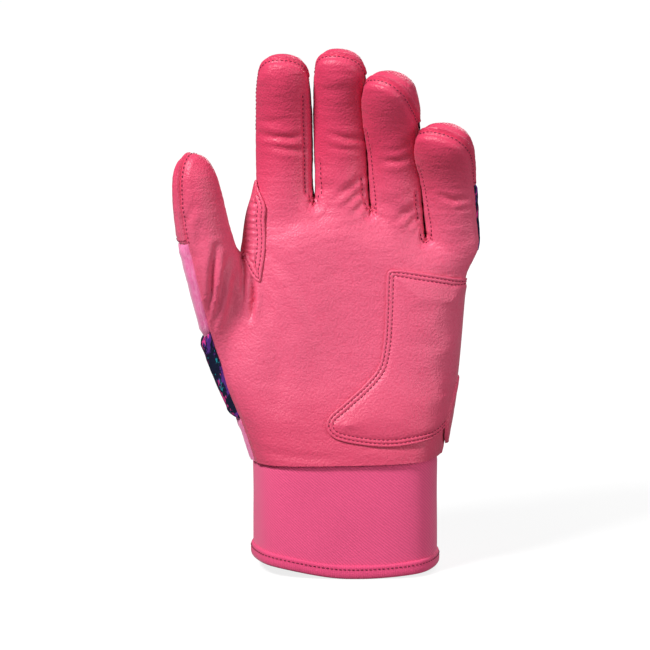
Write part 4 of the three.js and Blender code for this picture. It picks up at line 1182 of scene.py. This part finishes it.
def at_distance(distance, run, values):
    """Values at distances along a line, between those at its points."""
    return np.stack([np.interp(distance, run, column) for column in values.T], axis=-1)


def looped(line):
    """A line with its first point again at its end."""
    return np.concatenate([line, line[:1]])


def evenly_round(line, count):
    """Points spread evenly round a closed line."""
    ring = looped(line)
    run = run_along(ring)
    return at_distance(np.linspace(0, run[-1], count, endpoint=False), run, ring)


def evenly(line, step):
    """Points a step apart along a line of points."""
    line = np.asarray(line, dtype=float)
    run = run_along(line)
    return at_distance(np.linspace(0, run[-1], max(2, round(run[-1] / step))), run, line)


@functools.cache
def trim_lines():
    """Sewn lines on the smooth skin, by the body that they are on."""
    lines = {name: [] for name in (*FINGER_NAMES, "thumb", "hand")}
    for name, side, low, high in EDGE_ROWS:
        number = FINGER_NAMES.index(name)
        finger = FINGERS[number]
        spots = []
        for share in np.linspace(low, high, LINE_STEPS):
            across, facing = finger_directions(finger, share)
            out = across * (side * finger["width"] / 2 * math.sin(EDGE_ANGLE))
            ahead = facing * (finger["depth"] / 2 * math.cos(EDGE_ANGLE))
            spots.append(finger_spot(number, share) + out + ahead)
        lines[name].append(snapped(evenly(spots, TRIM_STEP))[0])
    for number in range(1, len(FINGERS)):
        x, z = column_spot(2 * number)
        turn = evenly(SLIT_TURN, TRIM_STEP)
        lines["hand"].append(np.array([on_palm(x + dx, z + SLIT_FOOT + dz) for dx, dz in turn]))
    return lines


def trim_rows(body):
    """Stitch rows on the worn skin along the sewn lines of a body."""
    return [StitchRow(*snapped(line, worn_skin().tree)) for line in trim_lines()[body]]


@functools.cache
def fold_span(body):
    """Start and end, in metres, of the bend between the hand and a finger or the thumb."""
    skin = worn_skin()
    ends, faces = panel_edges()
    bodies = [(body_of(PANELS[skin.panels[a]]), body_of(PANELS[skin.panels[b]])) for a, b in faces]
    border = np.unique(ends[[(body in pair) and pair[0] != pair[1] for pair in bodies]])
    spots = skin.points[border]
    if body == "thumb":
        along = thumb_spot(THUMB_SECTIONS[1]) - thumb_spot(THUMB_SECTIONS[0])
    else:
        number = FINGER_NAMES.index(body)
        (x_left, z_left), (x_right, z_right) = column_spot(2 * number), column_spot(2 * number + 2)
        along = Vector((z_left - z_right, 0, x_right - x_left))
    along = np.array(along.normalized())
    middle = spots.mean(axis=0)
    start = middle + along * ((spots @ along).max() - middle @ along)
    return tuple(start * MM), tuple((start + along * FOLD_LENGTH) * MM)


def join_body(piece, body):
    """Lets a piece on the hand or the strap move with its body; one on a finger or the thumb only has its
    transform baked.
    """
    if body in ("hand", "strap"):
        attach(piece, body)
    else:
        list(fold_span(body))
        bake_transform(piece)


# Making objects

def place_object(name, data):
    """A new object in the scene."""
    item = bpy.data.objects.new(name, data)
    bpy.context.collection.objects.link(item)
    return item


def cover(mesh, material):
    """Gives a mesh its one material."""
    mesh.materials.clear()
    mesh.materials.append(material)


def new_object(name, mesh, material):
    cover(mesh, material)
    return place_object(name, mesh)


def apply_modifiers(piece):
    """Bakes a piece's modifiers, so that its mesh is final."""
    bpy.context.view_layer.update()
    baked = bpy.data.meshes.new_from_object(piece.evaluated_get(bpy.context.evaluated_depsgraph_get()))
    old = piece.data
    piece.modifiers.clear()
    piece.data = baked
    baked.name = piece.name
    bpy.data.meshes.remove(old)


def settle(piece, body, slot, *nodes):
    """Shades a finished piece, hands it to join_body and hides the solids that it stands for; slot, its
    finish, is not used.
    """
    piece.data.polygons.foreach_set("use_smooth", [True] * len(piece.data.polygons))
    piece.data.set_sharp_from_angle(angle=SHARP_ANGLE)
    join_body(piece, body)
    if nodes:
        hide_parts(*nodes)


def face_out(piece):
    """Turns a sheet's faces away from the wrist's middle."""
    mesh = piece.data
    if sum(p.normal.x * p.center.x + p.normal.y * p.center.y for p in mesh.polygons) < 0:
        mesh.flip_normals()


def thicken(piece, thickness):
    """Gives a sheet its thickness in millimetres, inwards from its outer face."""
    wall = piece.modifiers.new("Thickness", "SOLIDIFY")
    wall.thickness = thickness * MM
    wall.offset = -1
    wall.use_rim = True
    apply_modifiers(piece)


def to_mesh(bm, name, scale=1):
    """The mesh of a finished bmesh."""
    bmesh.ops.scale(bm, vec=(scale, scale, scale), verts=bm.verts)
    mesh = bpy.data.meshes.new(name)
    bm.to_mesh(mesh)
    bm.free()
    return mesh


def grid_sheet(name, columns, rows, place, span, material, wrap=False):
    """A sheet from a grid: place gives the spot for shares u and v, and span is its size for the UV map."""
    bm = bmesh.new()
    uv = bm.loops.layers.uv.new("UVMap")
    bmesh.ops.create_grid(bm, x_segments=columns, y_segments=rows, size=0.5, calc_uvs=True)
    for face in bm.faces:
        for corner in face.loops:
            corner[uv].uv = ((corner.vert.co.x + 0.5) * span[0] * MM, (corner.vert.co.y + 0.5) * span[1] * MM)
    for vertex in bm.verts:
        vertex.co = place(vertex.co.x + 0.5, vertex.co.y + 0.5)
    if wrap:
        bmesh.ops.remove_doubles(bm, verts=bm.verts, dist=0.01)
        bmesh.ops.holes_fill(bm, edges=[e for e in bm.edges if e.is_boundary])
    bmesh.ops.recalc_face_normals(bm, faces=bm.faces)
    return new_object(name, to_mesh(bm, name, MM), material)


class StitchRow:
    """A row of stitches along a line of points with normals, both in millimetres."""

    def __init__(self, points, normals, closed=False):
        if closed:
            points, normals = looped(points), looped(normals)
        self.points, self.normals = np.asarray(points), np.asarray(normals)
        self.run = run_along(self.points)

    def at(self, distance):
        spot, normal = (at_distance(distance, self.run, values) for values in (self.points, self.normals))
        return Vector(spot), Vector(normal).normalized()


def sew(name, rows, body):
    """One object with every stitch of the rows: short capsules of thread, half sunk in the surface."""
    size = sizes()
    thread = size["thread"]
    shape = Matrix.Diagonal((thread, thread * STITCH_FLATNESS, size["stitch_length"], 1))
    bm = bmesh.new()
    for row in rows:
        count = int(row.run[-1] / size["stitch_pitch"])
        for i in range(count):
            middle = (i + 0.5) * row.run[-1] / count
            spot, normal = row.at(middle)
            ahead, _ = row.at(middle + STITCH_REACH)
            behind, _ = row.at(middle - STITCH_REACH)
            along = (ahead - behind).normalized()
            side = normal.cross(along).normalized()
            up = along.cross(side)
            frame_at = Matrix((side, up, along)).transposed().to_4x4()
            frame_at.translation = spot + up * STITCH_LIFT
            bmesh.ops.create_uvsphere(
                bm, u_segments=STITCH_SIDES, v_segments=STITCH_RINGS, radius=0.5, matrix=frame_at @ shape)
    mesh = to_mesh(bm, name, MM)
    mesh.polygons.foreach_set("use_smooth", [True] * len(mesh.polygons))
    piece = new_object(name, mesh, thread_material())
    join_body(piece, body)


def chains(pairs):
    """Joins edges, as pairs of points, into runs of points."""
    links = {}
    for a, b in pairs:
        links.setdefault(int(a), []).append(int(b))
        links.setdefault(int(b), []).append(int(a))
    runs = []
    while links:
        start = next((p for p in links if len(links[p]) == 1), next(iter(links)))
        run = [start]
        while links.get(run[-1]):
            here = run[-1]
            there = links[here].pop()
            links[there].remove(here)
            run.append(there)
        runs.append(run)
        links = {p: ends for p, ends in links.items() if ends}
    return runs


def by_place(pairs):
    """Pairs of points sorted by where they lie, since extrusion can number them in another order each run."""
    places = worn_skin().points
    pairs = [sorted(pair, key=lambda point: tuple(places[point])) for pair in pairs]
    return sorted(pairs, key=lambda pair: places[pair].tolist())


def seam_rows(panel, partners, inset):
    """Rows of stitches inside a panel, along its seams with its partners."""
    skin = worn_skin()
    ends, faces = panel_edges()
    number = NUMBER[panel]
    wanted = {NUMBER[p] for p in partners}
    pairs, inner = [], {}
    for (a, b), sides in zip(ends, faces):
        mine = [f for f in sides if skin.panels[f] == number]
        theirs = [f for f in sides if skin.panels[f] in wanted]
        if not mine or not theirs:
            continue
        pairs.append((a, b))
        centre = skin.points[skin.quads[mine[0]]].mean(axis=0)
        for end in (int(a), int(b)):
            inner.setdefault(end, []).append(centre)
    rows = []
    for run in chains(by_place(pairs)):
        points = skin.points[run]
        toward = np.array([np.mean(inner[p], axis=0) for p in run]) - points
        tangent = unit(np.gradient(points, axis=0))
        toward = unit(toward - tangent * (toward * tangent).sum(axis=1, keepdims=True))
        row = StitchRow(snapped(points + toward * inset, worn_skin().tree)[0], skin.normals[run])
        if row.run[-1] > SHORTEST_ROW:
            rows.append(row)
    return rows


def closed_curve(controls, count):
    """Evenly spaced points on a closed smooth curve through control points."""
    controls = np.asarray(controls, dtype=float)
    dense = []
    for p0, p1, p2, p3 in zip(*(np.roll(controls, shift, 0) for shift in (1, 0, -1, -2))):
        k0, k1, k2 = (max(np.linalg.norm(b - a) ** 0.5, 1e-6) for a, b in ((p0, p1), (p1, p2), (p2, p3)))
        m1 = (p2 - p1) + k1 * ((p1 - p0) / k0 - (p2 - p0) / (k0 + k1))
        m2 = (p2 - p1) + k1 * ((p3 - p2) / k2 - (p3 - p1) / (k1 + k2))
        for t in np.linspace(0, 1, CURVE_STEPS, endpoint=False):
            dense.append((2 * t ** 3 - 3 * t ** 2 + 1) * p1 + (t ** 3 - 2 * t ** 2 + t) * m1
                         + (3 * t ** 2 - 2 * t ** 3) * p2 + (t ** 3 - t ** 2) * m2)
    return evenly_round(dense, count)


def on_palm(x, z):
    """The spot on the smooth palm that lies behind X, Z as seen from the front."""
    hit = smooth_skin().tree.ray_cast(Vector((x, BEFORE_PALM, z)), Vector((0, 1, 0)))
    if hit[0] is None:
        raise RuntimeError(f"no palm behind {x}, {z}")
    return hit[0]


def snapped(points, tree=None):
    """Nearest spots on a surface, or else on the smooth skin, and their normals."""
    tree = tree or smooth_skin().tree
    hits = [tree.find_nearest(Vector(p)) for p in points]
    return np.array([h[0] for h in hits]), np.array([h[1] for h in hits])


def palm_spots(places):
    """Spots on the smooth skin: behind X, Z as seen from the front, or nearest to a place in space."""
    return np.array([on_palm(*place) if len(place) == 2 else snapped([place])[0][0] for place in places])


def overlay(name, edge, spine, insets, heights, crown, ripple=0):
    """A leather layer sewn over the palm, made of rings drawn in from its edge to a spine.

    Returns the piece, and the points and normals of its rings.
    """
    outline, _ = snapped(closed_curve(palm_spots(edge), OVERLAY_POINTS))
    spine = palm_spots(spine)
    line, _ = snapped(np.concatenate([np.linspace(a, b, SPINE_STEPS) for a, b in zip(spine[:-1], spine[1:])]))
    targets = line[[np.argmin(np.linalg.norm(line - p, axis=1)) for p in outline]]
    tangent = unit(np.roll(outline, -1, 0) - np.roll(outline, 1, 0))
    rings = [outline]
    for before, after in zip(insets[:-1], insets[1:]):
        here = rings[-1]
        toward = targets - here
        left = np.linalg.norm(toward, axis=1, keepdims=True)
        toward /= np.maximum(left, 1e-6)
        skew = np.sqrt(np.maximum(1 - (toward * tangent).sum(axis=1, keepdims=True) ** 2, LEAST_SKEW))
        rings.append(snapped(here + toward * np.minimum((after - before) / skew, left * MOST_INSET))[0])
    levels = list(heights)
    inner = rings[-1]
    for share in CROWN_SHARES:
        rings.append(snapped(lerp(inner, targets, share))[0])
        levels.append(lerp(heights[-1], crown, smoothstep(share, 0, CROWN_FULL)))
    bm = bmesh.new()
    verts = bmesh.ops.create_circle(bm, segments=OVERLAY_POINTS, radius=1)["verts"]
    lines = []
    for number, (ring, level) in enumerate(zip(rings, levels)):
        base, normals = snapped(ring)
        inside = np.clip((number + 2 - len(heights)) / 2, 0, 1)
        pucker = inside * ripple * np.sin(base[:, 2] * math.tau / RIPPLE_PITCH)
        spots = base + normals * (level + pucker)[:, None]
        lines.append((spots, normals))
    for vertex, spot in zip(verts, lines[0][0]):
        vertex.co = spot
    made = [verts]
    for spots, _ in lines[1:]:
        verts, _ = extrude_ring(bm, verts, [Vector(s) for s in spots], ["palm_leather"] * OVERLAY_POINTS)
        made.append(verts)
    bmesh.ops.triangle_fill(bm, use_beauty=True, edges=[
        bm.edges.get((a, b)) for a, b in zip(verts, verts[1:] + verts[:1])])
    crowned = [v for ring_verts in made[len(heights):] for v in ring_verts]
    raised = [level for level in levels[len(heights):] for _ in range(OVERLAY_POINTS)]
    passes = 1 if ripple else CROWN_PASSES
    for left in reversed(range(passes)):
        for _ in range(CROWN_SMOOTHING):
            bmesh.ops.smooth_vert(
                bm, verts=crowned, factor=0.5, use_axis_x=True, use_axis_y=True, use_axis_z=True)
        if left:
            for vertex, spot, normal, level in zip(crowned, *snapped([v.co for v in crowned]), raised):
                vertex.co = Vector(spot + normal * level)
    bmesh.ops.recalc_face_normals(bm, faces=bm.faces)
    outward = lines[0][1].mean(axis=0)
    if sum(face.normal.dot(outward) * face.calc_area() for face in bm.faces) < 0:
        bmesh.ops.reverse_faces(bm, faces=bm.faces)
    piece = new_object(name, to_mesh(bm, name, MM), sheepskin_material())
    thicken(piece, COVER_THICK)
    return piece, lines


# Cuff, hem and strap

@functools.cache
def wrist_line():
    """Closed outline of the cuff from its slit, clockwise from above: points, outward normals and run."""
    rim = smooth_skin().points[wrist_border()][:, :2]
    even = evenly_round(rim[np.argsort(-np.arctan2(rim[:, 1], rim[:, 0]))], WRIST_POINTS)
    along = unit(np.roll(even, -1, 0) - np.roll(even, 1, 0))
    outward = np.stack([-along[:, 1], along[:, 0]], axis=1)
    even = even - outward * (LEATHER + CLEAR)
    start = np.argmin(np.where(even[:, 1] < 0, np.inf, np.abs(even[:, 0] - SLIT_X)))
    even, outward = (looped(np.roll(values, -start, 0)) for values in (even, outward))
    return even, outward, run_along(even)


def wrist_spot(distance, out, z):
    """A spot on the cuff, at a distance round it from the slit, and out from its outer face."""
    even, outward, run = wrist_line()
    distance = distance % run[-1]
    spot = at_distance(distance, run, even) + out * at_distance(distance, run, outward)
    return Vector((*spot, z))


def wrist_outward(distance):
    _, outward, run = wrist_line()
    return np.append(at_distance(distance % run[-1], run, outward), 0.0)


def wrist_distance(degrees):
    """Distance round the cuff at an angle from +X towards the back. Angles run against the outline."""
    even, _, run = wrist_line()
    bearings = np.degrees(np.arctan2(even[:-1, 1], even[:-1, 0]))
    return run[np.argmin(np.abs(bearings - degrees))]


def hem_level(u):
    """Height of the hem at a share of its length: it rises towards both sides, more at the thumb's side."""
    x = cuff_spot(u, 0, 0).x
    return float(
        HEM_LIFT_LEFT * smoothstep(-x, *HEM_SPAN_LEFT) + HEM_LIFT_RIGHT * smoothstep(x, *HEM_SPAN_RIGHT))


def cuff_distance(u, z):
    """Distance round the cuff at a share of its length, which is less where the slit is wide."""
    half = lerp(SLIT_HALF, SLIT_TIP_HALF, min(1, max(0, z / SLIT_HEIGHT)))
    return lerp(half, wrist_line()[2][-1] - half, u)


def cuff_spot(u, z, out):
    return wrist_spot(cuff_distance(u, z), out, z)


def cuff_place(u, v):
    flat = cuff_spot(u, 0, 0)
    z = lerp(hem_level(u) + CUFF_FOOT, CUFF_HEIGHT + CUFF_TUCK, v)
    tuck = -TUCK_IN * smoothstep(z, CUFF_HEIGHT - TUCK_RUN, CUFF_HEIGHT + CUFF_TUCK)
    slack = CUFF_SLACK * noise.noise(Vector((flat.x / SLACK_WIDE, flat.y / SLACK_WIDE, z / SLACK_HIGH)))
    return cuff_spot(u, z, float(tuck) + slack)


def squarer(value):
    """A sine or cosine that stays longer near its ends, for a section with rounded corners."""
    return math.copysign(abs(value) ** HEM_POWER, value)


def hem_profile(v, height, wall):
    """Folded binding round the cuff's edge: out from the cuff's face, and up from the hem."""
    angle = math.tau * v
    half_width, half_height = (wall + HEM_EXTRA) / 2, height / 2
    across = squarer(math.sin(angle))
    up = half_height + half_height * squarer(math.cos(angle))
    groove = HEM_GROOVE * hill(up, HEM_ROW * height, GROOVE_WIDTH) if across > 0 else 0
    return -wall / 2 + across * (half_width - groove), up


def strap_trim(share):
    """How much the free end narrows at each edge, by share of the strap's length."""
    return STRAP_NARROWING * max(0, (share - NARROW_FROM) / (1 - NARROW_FROM)) ** NARROW_POWER


def three_sides(span, steps):
    """A sewn path on a sheet, as shares of it: along one edge, over its end and back along the other edge."""
    (low, high), (long, short) = span, steps
    there = [(u, STRAP_ROW) for u in np.linspace(low, high, long)]
    over = [(high, v) for v in np.linspace(STRAP_ROW, 1 - STRAP_ROW, short)]
    back = [(u, 1 - STRAP_ROW) for u in np.linspace(high, low, long)]
    return there + over[1:] + back[1:]


# Operators

class GLOVE_OT_skin(bpy.types.Operator):
    """Cut and sew the leather and stretch panels of the hand, fingers and thumb"""

    bl_idname = "glove.skin"
    bl_label = "Sewn panels"

    def execute(self, context):
        skin = worn_skin()
        size = sizes()
        mesh = bpy.data.meshes[SKIN_MESH]
        mesh.vertices.foreach_set("co", (skin.points * MM).ravel())
        mesh.update()
        for panel in PANELS:
            mesh.materials.append(bpy.data.materials.new(panel))
        mesh.polygons.foreach_set("material_index", skin.panels.astype(np.int32))
        whole = place_object(SKIN_MESH, mesh)
        before = set(bpy.data.objects)
        context.view_layer.objects.active = whole
        whole.select_set(True)
        bpy.ops.object.mode_set(mode="EDIT")
        bpy.ops.mesh.select_all(action="SELECT")
        bpy.ops.mesh.sort_elements(type="MATERIAL", elements={"FACE"})
        bpy.ops.mesh.separate(type="MATERIAL")
        bpy.ops.object.mode_set(mode="OBJECT")
        parts = [whole] + [o for o in bpy.data.objects if o not in before]
        if len(parts) != len(PANELS):
            raise RuntimeError(f"expected {len(PANELS)} panels and cut {len(parts)}")
        for piece in parts:
            panel = piece.data.materials[piece.data.polygons[0].material_index].name
            self.finish(piece, panel, size)
        for panel in PANELS:
            bpy.data.materials.remove(bpy.data.materials[panel])
        return {"FINISHED"}

    def finish(self, piece, panel, size):
        material, slot, thickness = self.cloth(panel, size)
        piece.name = f"{panel}_sewn"
        thicken(piece, thickness)
        cover(piece.data, material)
        piece.data.polygons.foreach_set("material_index", [0] * len(piece.data.polygons))
        piece.select_set(False)
        settle(piece, body_of(panel), slot, panel)

    def cloth(self, panel, size):
        if panel == "back_panel" or panel.endswith("_back_stretch"):
            return print_material(), "print", size["stretch"]
        if "fourchette" in panel:
            return fourchette_material(), "fourchette", size["stretch"]
        if panel == "radial_gusset" or panel.startswith("thumb_stretch"):
            return heather_material(), "stretch", size["stretch"]
        return sheepskin_material(), "leather", size["leather"]


class GLOVE_OT_heel_pad(bpy.types.Operator):
    """Sew the padded reinforcement over the heel of the palm"""

    bl_idname = "glove.heel_pad"
    bl_label = "Heel pad"

    def execute(self, context):
        pad, lines = overlay(
            "heel_pad_sewn", PAD_EDGE, PAD_SPINE, PAD_INSETS, PAD_HEIGHTS, sizes()["pad_height"])
        settle(pad, "hand", "leather", "heel_pad_cover", "heel_pad_foam")
        sew("heel_pad_stitches", [StitchRow(*lines[i], closed=True) for i in PAD_ROWS], "hand")
        return {"FINISHED"}


class GLOVE_OT_crotch_patch(bpy.types.Operator):
    """Sew the leaf-shaped patch between the thumb and the index finger"""

    bl_idname = "glove.crotch_patch"
    bl_label = "Crotch patch"

    def execute(self, context):
        leaf, lines = overlay(
            "crotch_patch_sewn", LEAF_EDGE, LEAF_SPINE, LEAF_INSETS, LEAF_HEIGHTS, LEAF_CROWN, LEAF_RIPPLE)
        settle(leaf, "index", "leather", "crotch_patch")
        rows = []
        for ring, shares in LEAF_ROWS:
            low, high = (int(share * OVERLAY_POINTS) for share in shares)
            rows.append(StitchRow(*(part[low:high] for part in lines[ring])))
        sew("crotch_patch_stitches", rows, "index")
        return {"FINISHED"}


class GLOVE_OT_wrist_tab(bpy.types.Operator):
    """Lay the leather side tab over the edge of the heel pad"""

    bl_idname = "glove.wrist_tab"
    bl_label = "Wrist tab"

    def execute(self, context):
        tab, _ = overlay("wrist_tab_sewn", TAB_EDGE, TAB_SPINE, TAB_INSETS, TAB_HEIGHTS, TAB_HEIGHTS[-1])
        settle(tab, "hand", "leather")
        return {"FINISHED"}


class GLOVE_OT_cuff(bpy.types.Operator):
    """Wrap the cuff round the wrist and bind its hem"""

    bl_idname = "glove.cuff"
    bl_label = "Cuff and hem"

    def execute(self, context):
        size = sizes()
        total = wrist_line()[2][-1]
        cuff = grid_sheet("cuff_sewn", CUFF_COLUMNS, CUFF_ROWS, cuff_place, (total, CUFF_HEIGHT),
                          twill_material())
        face_out(cuff)
        thicken(cuff, size["neoprene"])
        settle(cuff, "hand", "cuff", "cuff")

        def hem_place(u, v):
            out, up = hem_profile(v, size["hem_height"], size["neoprene"])
            return cuff_spot(u, hem_level(u) + up, out)

        hem = grid_sheet("cuff_hem_sewn", CUFF_COLUMNS, HEM_SIDES, hem_place, (total, 4 * size["hem_height"]),
                         binding_material(), wrap=True)
        settle(hem, "hand", "binding", "cuff_hem")
        spots, normals = [], []
        for u in np.linspace(*HEM_STITCHED, HEM_STEPS):
            z = hem_level(u) + size["hem_height"] * HEM_ROW
            spots.append(cuff_spot(u, z, HEM_STITCH_OUT))
            normals.append(wrist_outward(cuff_distance(u, z)))
        sew("hem_stitches", [StitchRow(np.array(spots), np.array(normals))], "hand")
        return {"FINISHED"}


class GLOVE_OT_strap(bpy.types.Operator):
    """Make the closure strap, its sewn end, tape and pull tab"""

    bl_idname = "glove.strap"
    bl_label = "Strap"

    def execute(self, context):
        total = wrist_line()[2][-1]
        sewn, begin, lifted, end, tab_end = (
            wrist_distance(degrees)
            for degrees in (ANCHOR_FROM, STRAP_FROM, PATCH_FROM - STRAP_LIFT, STRAP_TO, TAB_TO))
        anchor_length, length = (sewn - begin) % total, (begin - end) % total
        tab_length, lift_over = (end - tab_end) % total, (begin - lifted) % total
        rise = 3 * CLEAR + 2 * PATCH_THICK

        def strap_out(run):
            return lerp(CLEAR, rise, float(smoothstep(run, 0, lift_over))) + STRAP_THICK

        def strap_level(v, trim):
            return lerp(STRAP_BASE + trim, STRAP_BASE + STRAP_HEIGHT - trim, v)

        def strap_place(u, v):
            return wrist_spot(begin - u * length, strap_out(u * length), strap_level(v, strap_trim(u)))

        def anchor_place(u, v):
            run = lerp(ANCHOR_GAP, anchor_length, u)
            return wrist_spot(begin + run, CLEAR + STRAP_THICK, strap_level(v, 0))

        def tab_place(u, v):
            run = length - TAB_OVERLAP + u * (tab_length + TAB_OVERLAP)
            trim = strap_trim(1) - TAB_PROUD + TAB_TAPER * u ** 3
            ridge = TAB_RIDGE * math.cos(u * TAB_RIDGES * math.tau)
            return wrist_spot(begin - run, strap_out(length) + TAB_PROUD + ridge, strap_level(v, trim))

        twill = twill_material()
        strap = self.sheet("strap_sewn", STRAP_GRID, strap_place, length, twill, STRAP_THICK)
        settle(strap, "strap", "cuff", "strap")
        anchor = self.sheet("strap_anchor_sewn", ANCHOR_GRID, anchor_place, ANCHOR_SPAN, twill, STRAP_THICK)
        settle(anchor, "hand", "cuff", "strap_anchor")
        tab = self.sheet("pull_tab_moulded", TAB_GRID, tab_place, tab_length, rubber_material(), TAB_THICK)
        settle(tab, "strap", "tab", "pull_tab")
        for node in ("hook_patch", "loop_patch"):
            cover(frame["nodes"][node].data, tape_material())
        self.sew_sheet("strap_stitches", three_sides(STRAP_SEWN, STRAP_STEPS), strap_place,
                       lambda u: begin - u * length, "strap")
        self.sew_sheet("anchor_stitches", three_sides(ANCHOR_SEWN, ANCHOR_STEPS), anchor_place,
                       lambda u: begin + u * anchor_length, "hand")
        return {"FINISHED"}

    def sheet(self, name, grid, place, length, material, thickness):
        """A strip round the cuff, with its thickness and softened edges."""
        piece = grid_sheet(name, *grid, place, (length, STRAP_HEIGHT), material)
        face_out(piece)
        thicken(piece, thickness)
        edge = piece.modifiers.new("Edge", "BEVEL")
        edge.width = STRAP_EDGE * MM
        edge.segments = 2
        edge.limit_method = "ANGLE"
        edge.angle_limit = STRAP_EDGE_ANGLE
        apply_modifiers(piece)
        return piece

    def sew_sheet(self, name, path, place, distance, body):
        """Stitches along a path on a strip; distance tells where round the cuff a share of it lies."""
        spots = np.array([place(u, v) for u, v in path])
        normals = np.array([wrist_outward(distance(u)) for u, _ in path])
        sew(name, [StitchRow(spots, normals)], body)


class GLOVE_OT_stitching(bpy.types.Operator):
    """Run the rows of stitches along the seams of fingers, thumb and hand"""

    bl_idname = "glove.stitching"
    bl_label = "Seam stitching"

    def execute(self, context):
        cloths = {name: f"{name}_back_stretch" for name in FINGER_NAMES} | {"thumb": "thumb_stretch_upper"}
        for name, cloth in cloths.items():
            rows = seam_rows(f"{name}_front", [f"{name}_back_cap"], TIP_ROW)
            rows += seam_rows(f"{name}_back_cap", [cloth], SEAM_ROW)
            sew(f"{name}_stitches", rows + trim_rows(name), name)
        hand = seam_rows("ulnar_panel", ["palm_leather", "back_panel"], SEAM_ROW)
        sew("hand_stitches", hand + trim_rows("hand"), "hand")
        return {"FINISHED"}


class GLOVE_OT_stage(bpy.types.Operator):
    """Set the pale floor, the soft studio light and the camera"""

    bl_idname = "glove.stage"
    bl_label = "Stage"

    def execute(self, context):
        self.floor()
        self.lamps()
        self.world(context.scene)
        self.camera(context.scene)
        context.scene.view_settings.view_transform = "Standard"
        return {"FINISHED"}

    def floor(self):
        bm = bmesh.new()
        bmesh.ops.create_grid(bm, x_segments=2, y_segments=2, size=FLOOR_HALF)
        new_object("floor", to_mesh(bm, "floor"), paper_material())

    def lamps(self):
        for name, spot, width, power in LAMPS:
            data = bpy.data.lights.new(name, "AREA")
            data.shape = "DISK"
            data.size = width
            data.energy = power
            lamp = place_object(name, data)
            lamp.location = spot
            lamp.rotation_euler = (Vector(LAMP_AIM) - Vector(spot)).to_track_quat("-Z", "Y").to_euler()

    def world(self, scene):
        world = bpy.data.worlds.new("studio")
        scene.world = world
        world.use_nodes = True
        tree = world.node_tree
        tree.nodes.clear()
        seen = add_node(tree, "ShaderNodeLightPath").outputs["Is Camera Ray"]
        strength = add_node(tree, "ShaderNodeMapRange", {"Value": seen, "To Min": SKY_LIGHT, "To Max": 1.0})
        glow = add_node(tree, "ShaderNodeBackground", {
            "Color": (1, 1, 1, 1), "Strength": strength.outputs["Result"]})
        add_node(tree, "ShaderNodeOutputWorld", {"Surface": glow.outputs["Background"]})

    def camera(self, scene):
        data = bpy.data.cameras.new("camera")
        camera = place_object("camera", data)
        data.sensor_fit = "HORIZONTAL"
        data.angle = 2 * math.atan(IMAGE_PIXELS * PIXEL_MM / 2 / CAMERA_DISTANCE)
        ahead = Vector((0, math.cos(CAMERA_ELEVATION), -math.sin(CAMERA_ELEVATION)))
        up = Vector((0, math.sin(CAMERA_ELEVATION), math.cos(CAMERA_ELEVATION)))
        target = Vector((0, 0, TARGET_Z))
        right = Vector((IMAGE_PIXELS / 2 - IMAGE_ZERO[0], 0, 0)) * PIXEL_MM
        higher = up * ((IMAGE_ZERO[1] - IMAGE_PIXELS / 2) * PIXEL_MM - TARGET_Z)
        camera.location = (target - ahead * CAMERA_DISTANCE + right + higher) * MM
        camera.rotation_euler = ahead.to_track_quat("-Z", "Y").to_euler()
        data.clip_start, data.clip_end = 0.01, 100
        scene.camera = camera


class GLOVE_PT_panel(bpy.types.Panel):
    """Buttons and settings of the glove"""

    bl_idname = "GLOVE_PT_panel"
    bl_label = "Batting Glove"
    bl_space_type = "VIEW_3D"
    bl_region_type = "UI"
    bl_category = "Glove"

    def draw(self, context):
        for operator in STEPS:
            self.layout.operator(operator.bl_idname)
        for group in (context.scene.glove_sizes, context.scene.glove_colours):
            box = self.layout.box()
            for key in group.__annotations__:
                box.prop(group, key)


STEPS = (
    GLOVE_OT_skin, GLOVE_OT_heel_pad, GLOVE_OT_crotch_patch, GLOVE_OT_wrist_tab, GLOVE_OT_cuff,
    GLOVE_OT_strap, GLOVE_OT_stitching, GLOVE_OT_stage,
)
CLASSES = (GloveSizes, GloveColours, *STEPS, GLOVE_PT_panel)


def register():
    for item in CLASSES:
        bpy.utils.register_class(item)
    bpy.types.Scene.glove_sizes = PointerProperty(type=GloveSizes)
    bpy.types.Scene.glove_colours = PointerProperty(type=GloveColours)


def unregister():
    del bpy.types.Scene.glove_colours
    del bpy.types.Scene.glove_sizes
    for item in reversed(CLASSES):
        bpy.utils.unregister_class(item)


def main():
    register()
    bpy.ops.glove.skin()
    bpy.ops.glove.heel_pad()
    bpy.ops.glove.crotch_patch()
    bpy.ops.glove.wrist_tab()
    bpy.ops.glove.cuff()
    bpy.ops.glove.strap()
    bpy.ops.glove.stitching()
    bpy.ops.glove.stage()


if __name__ == "__main__":
    main()
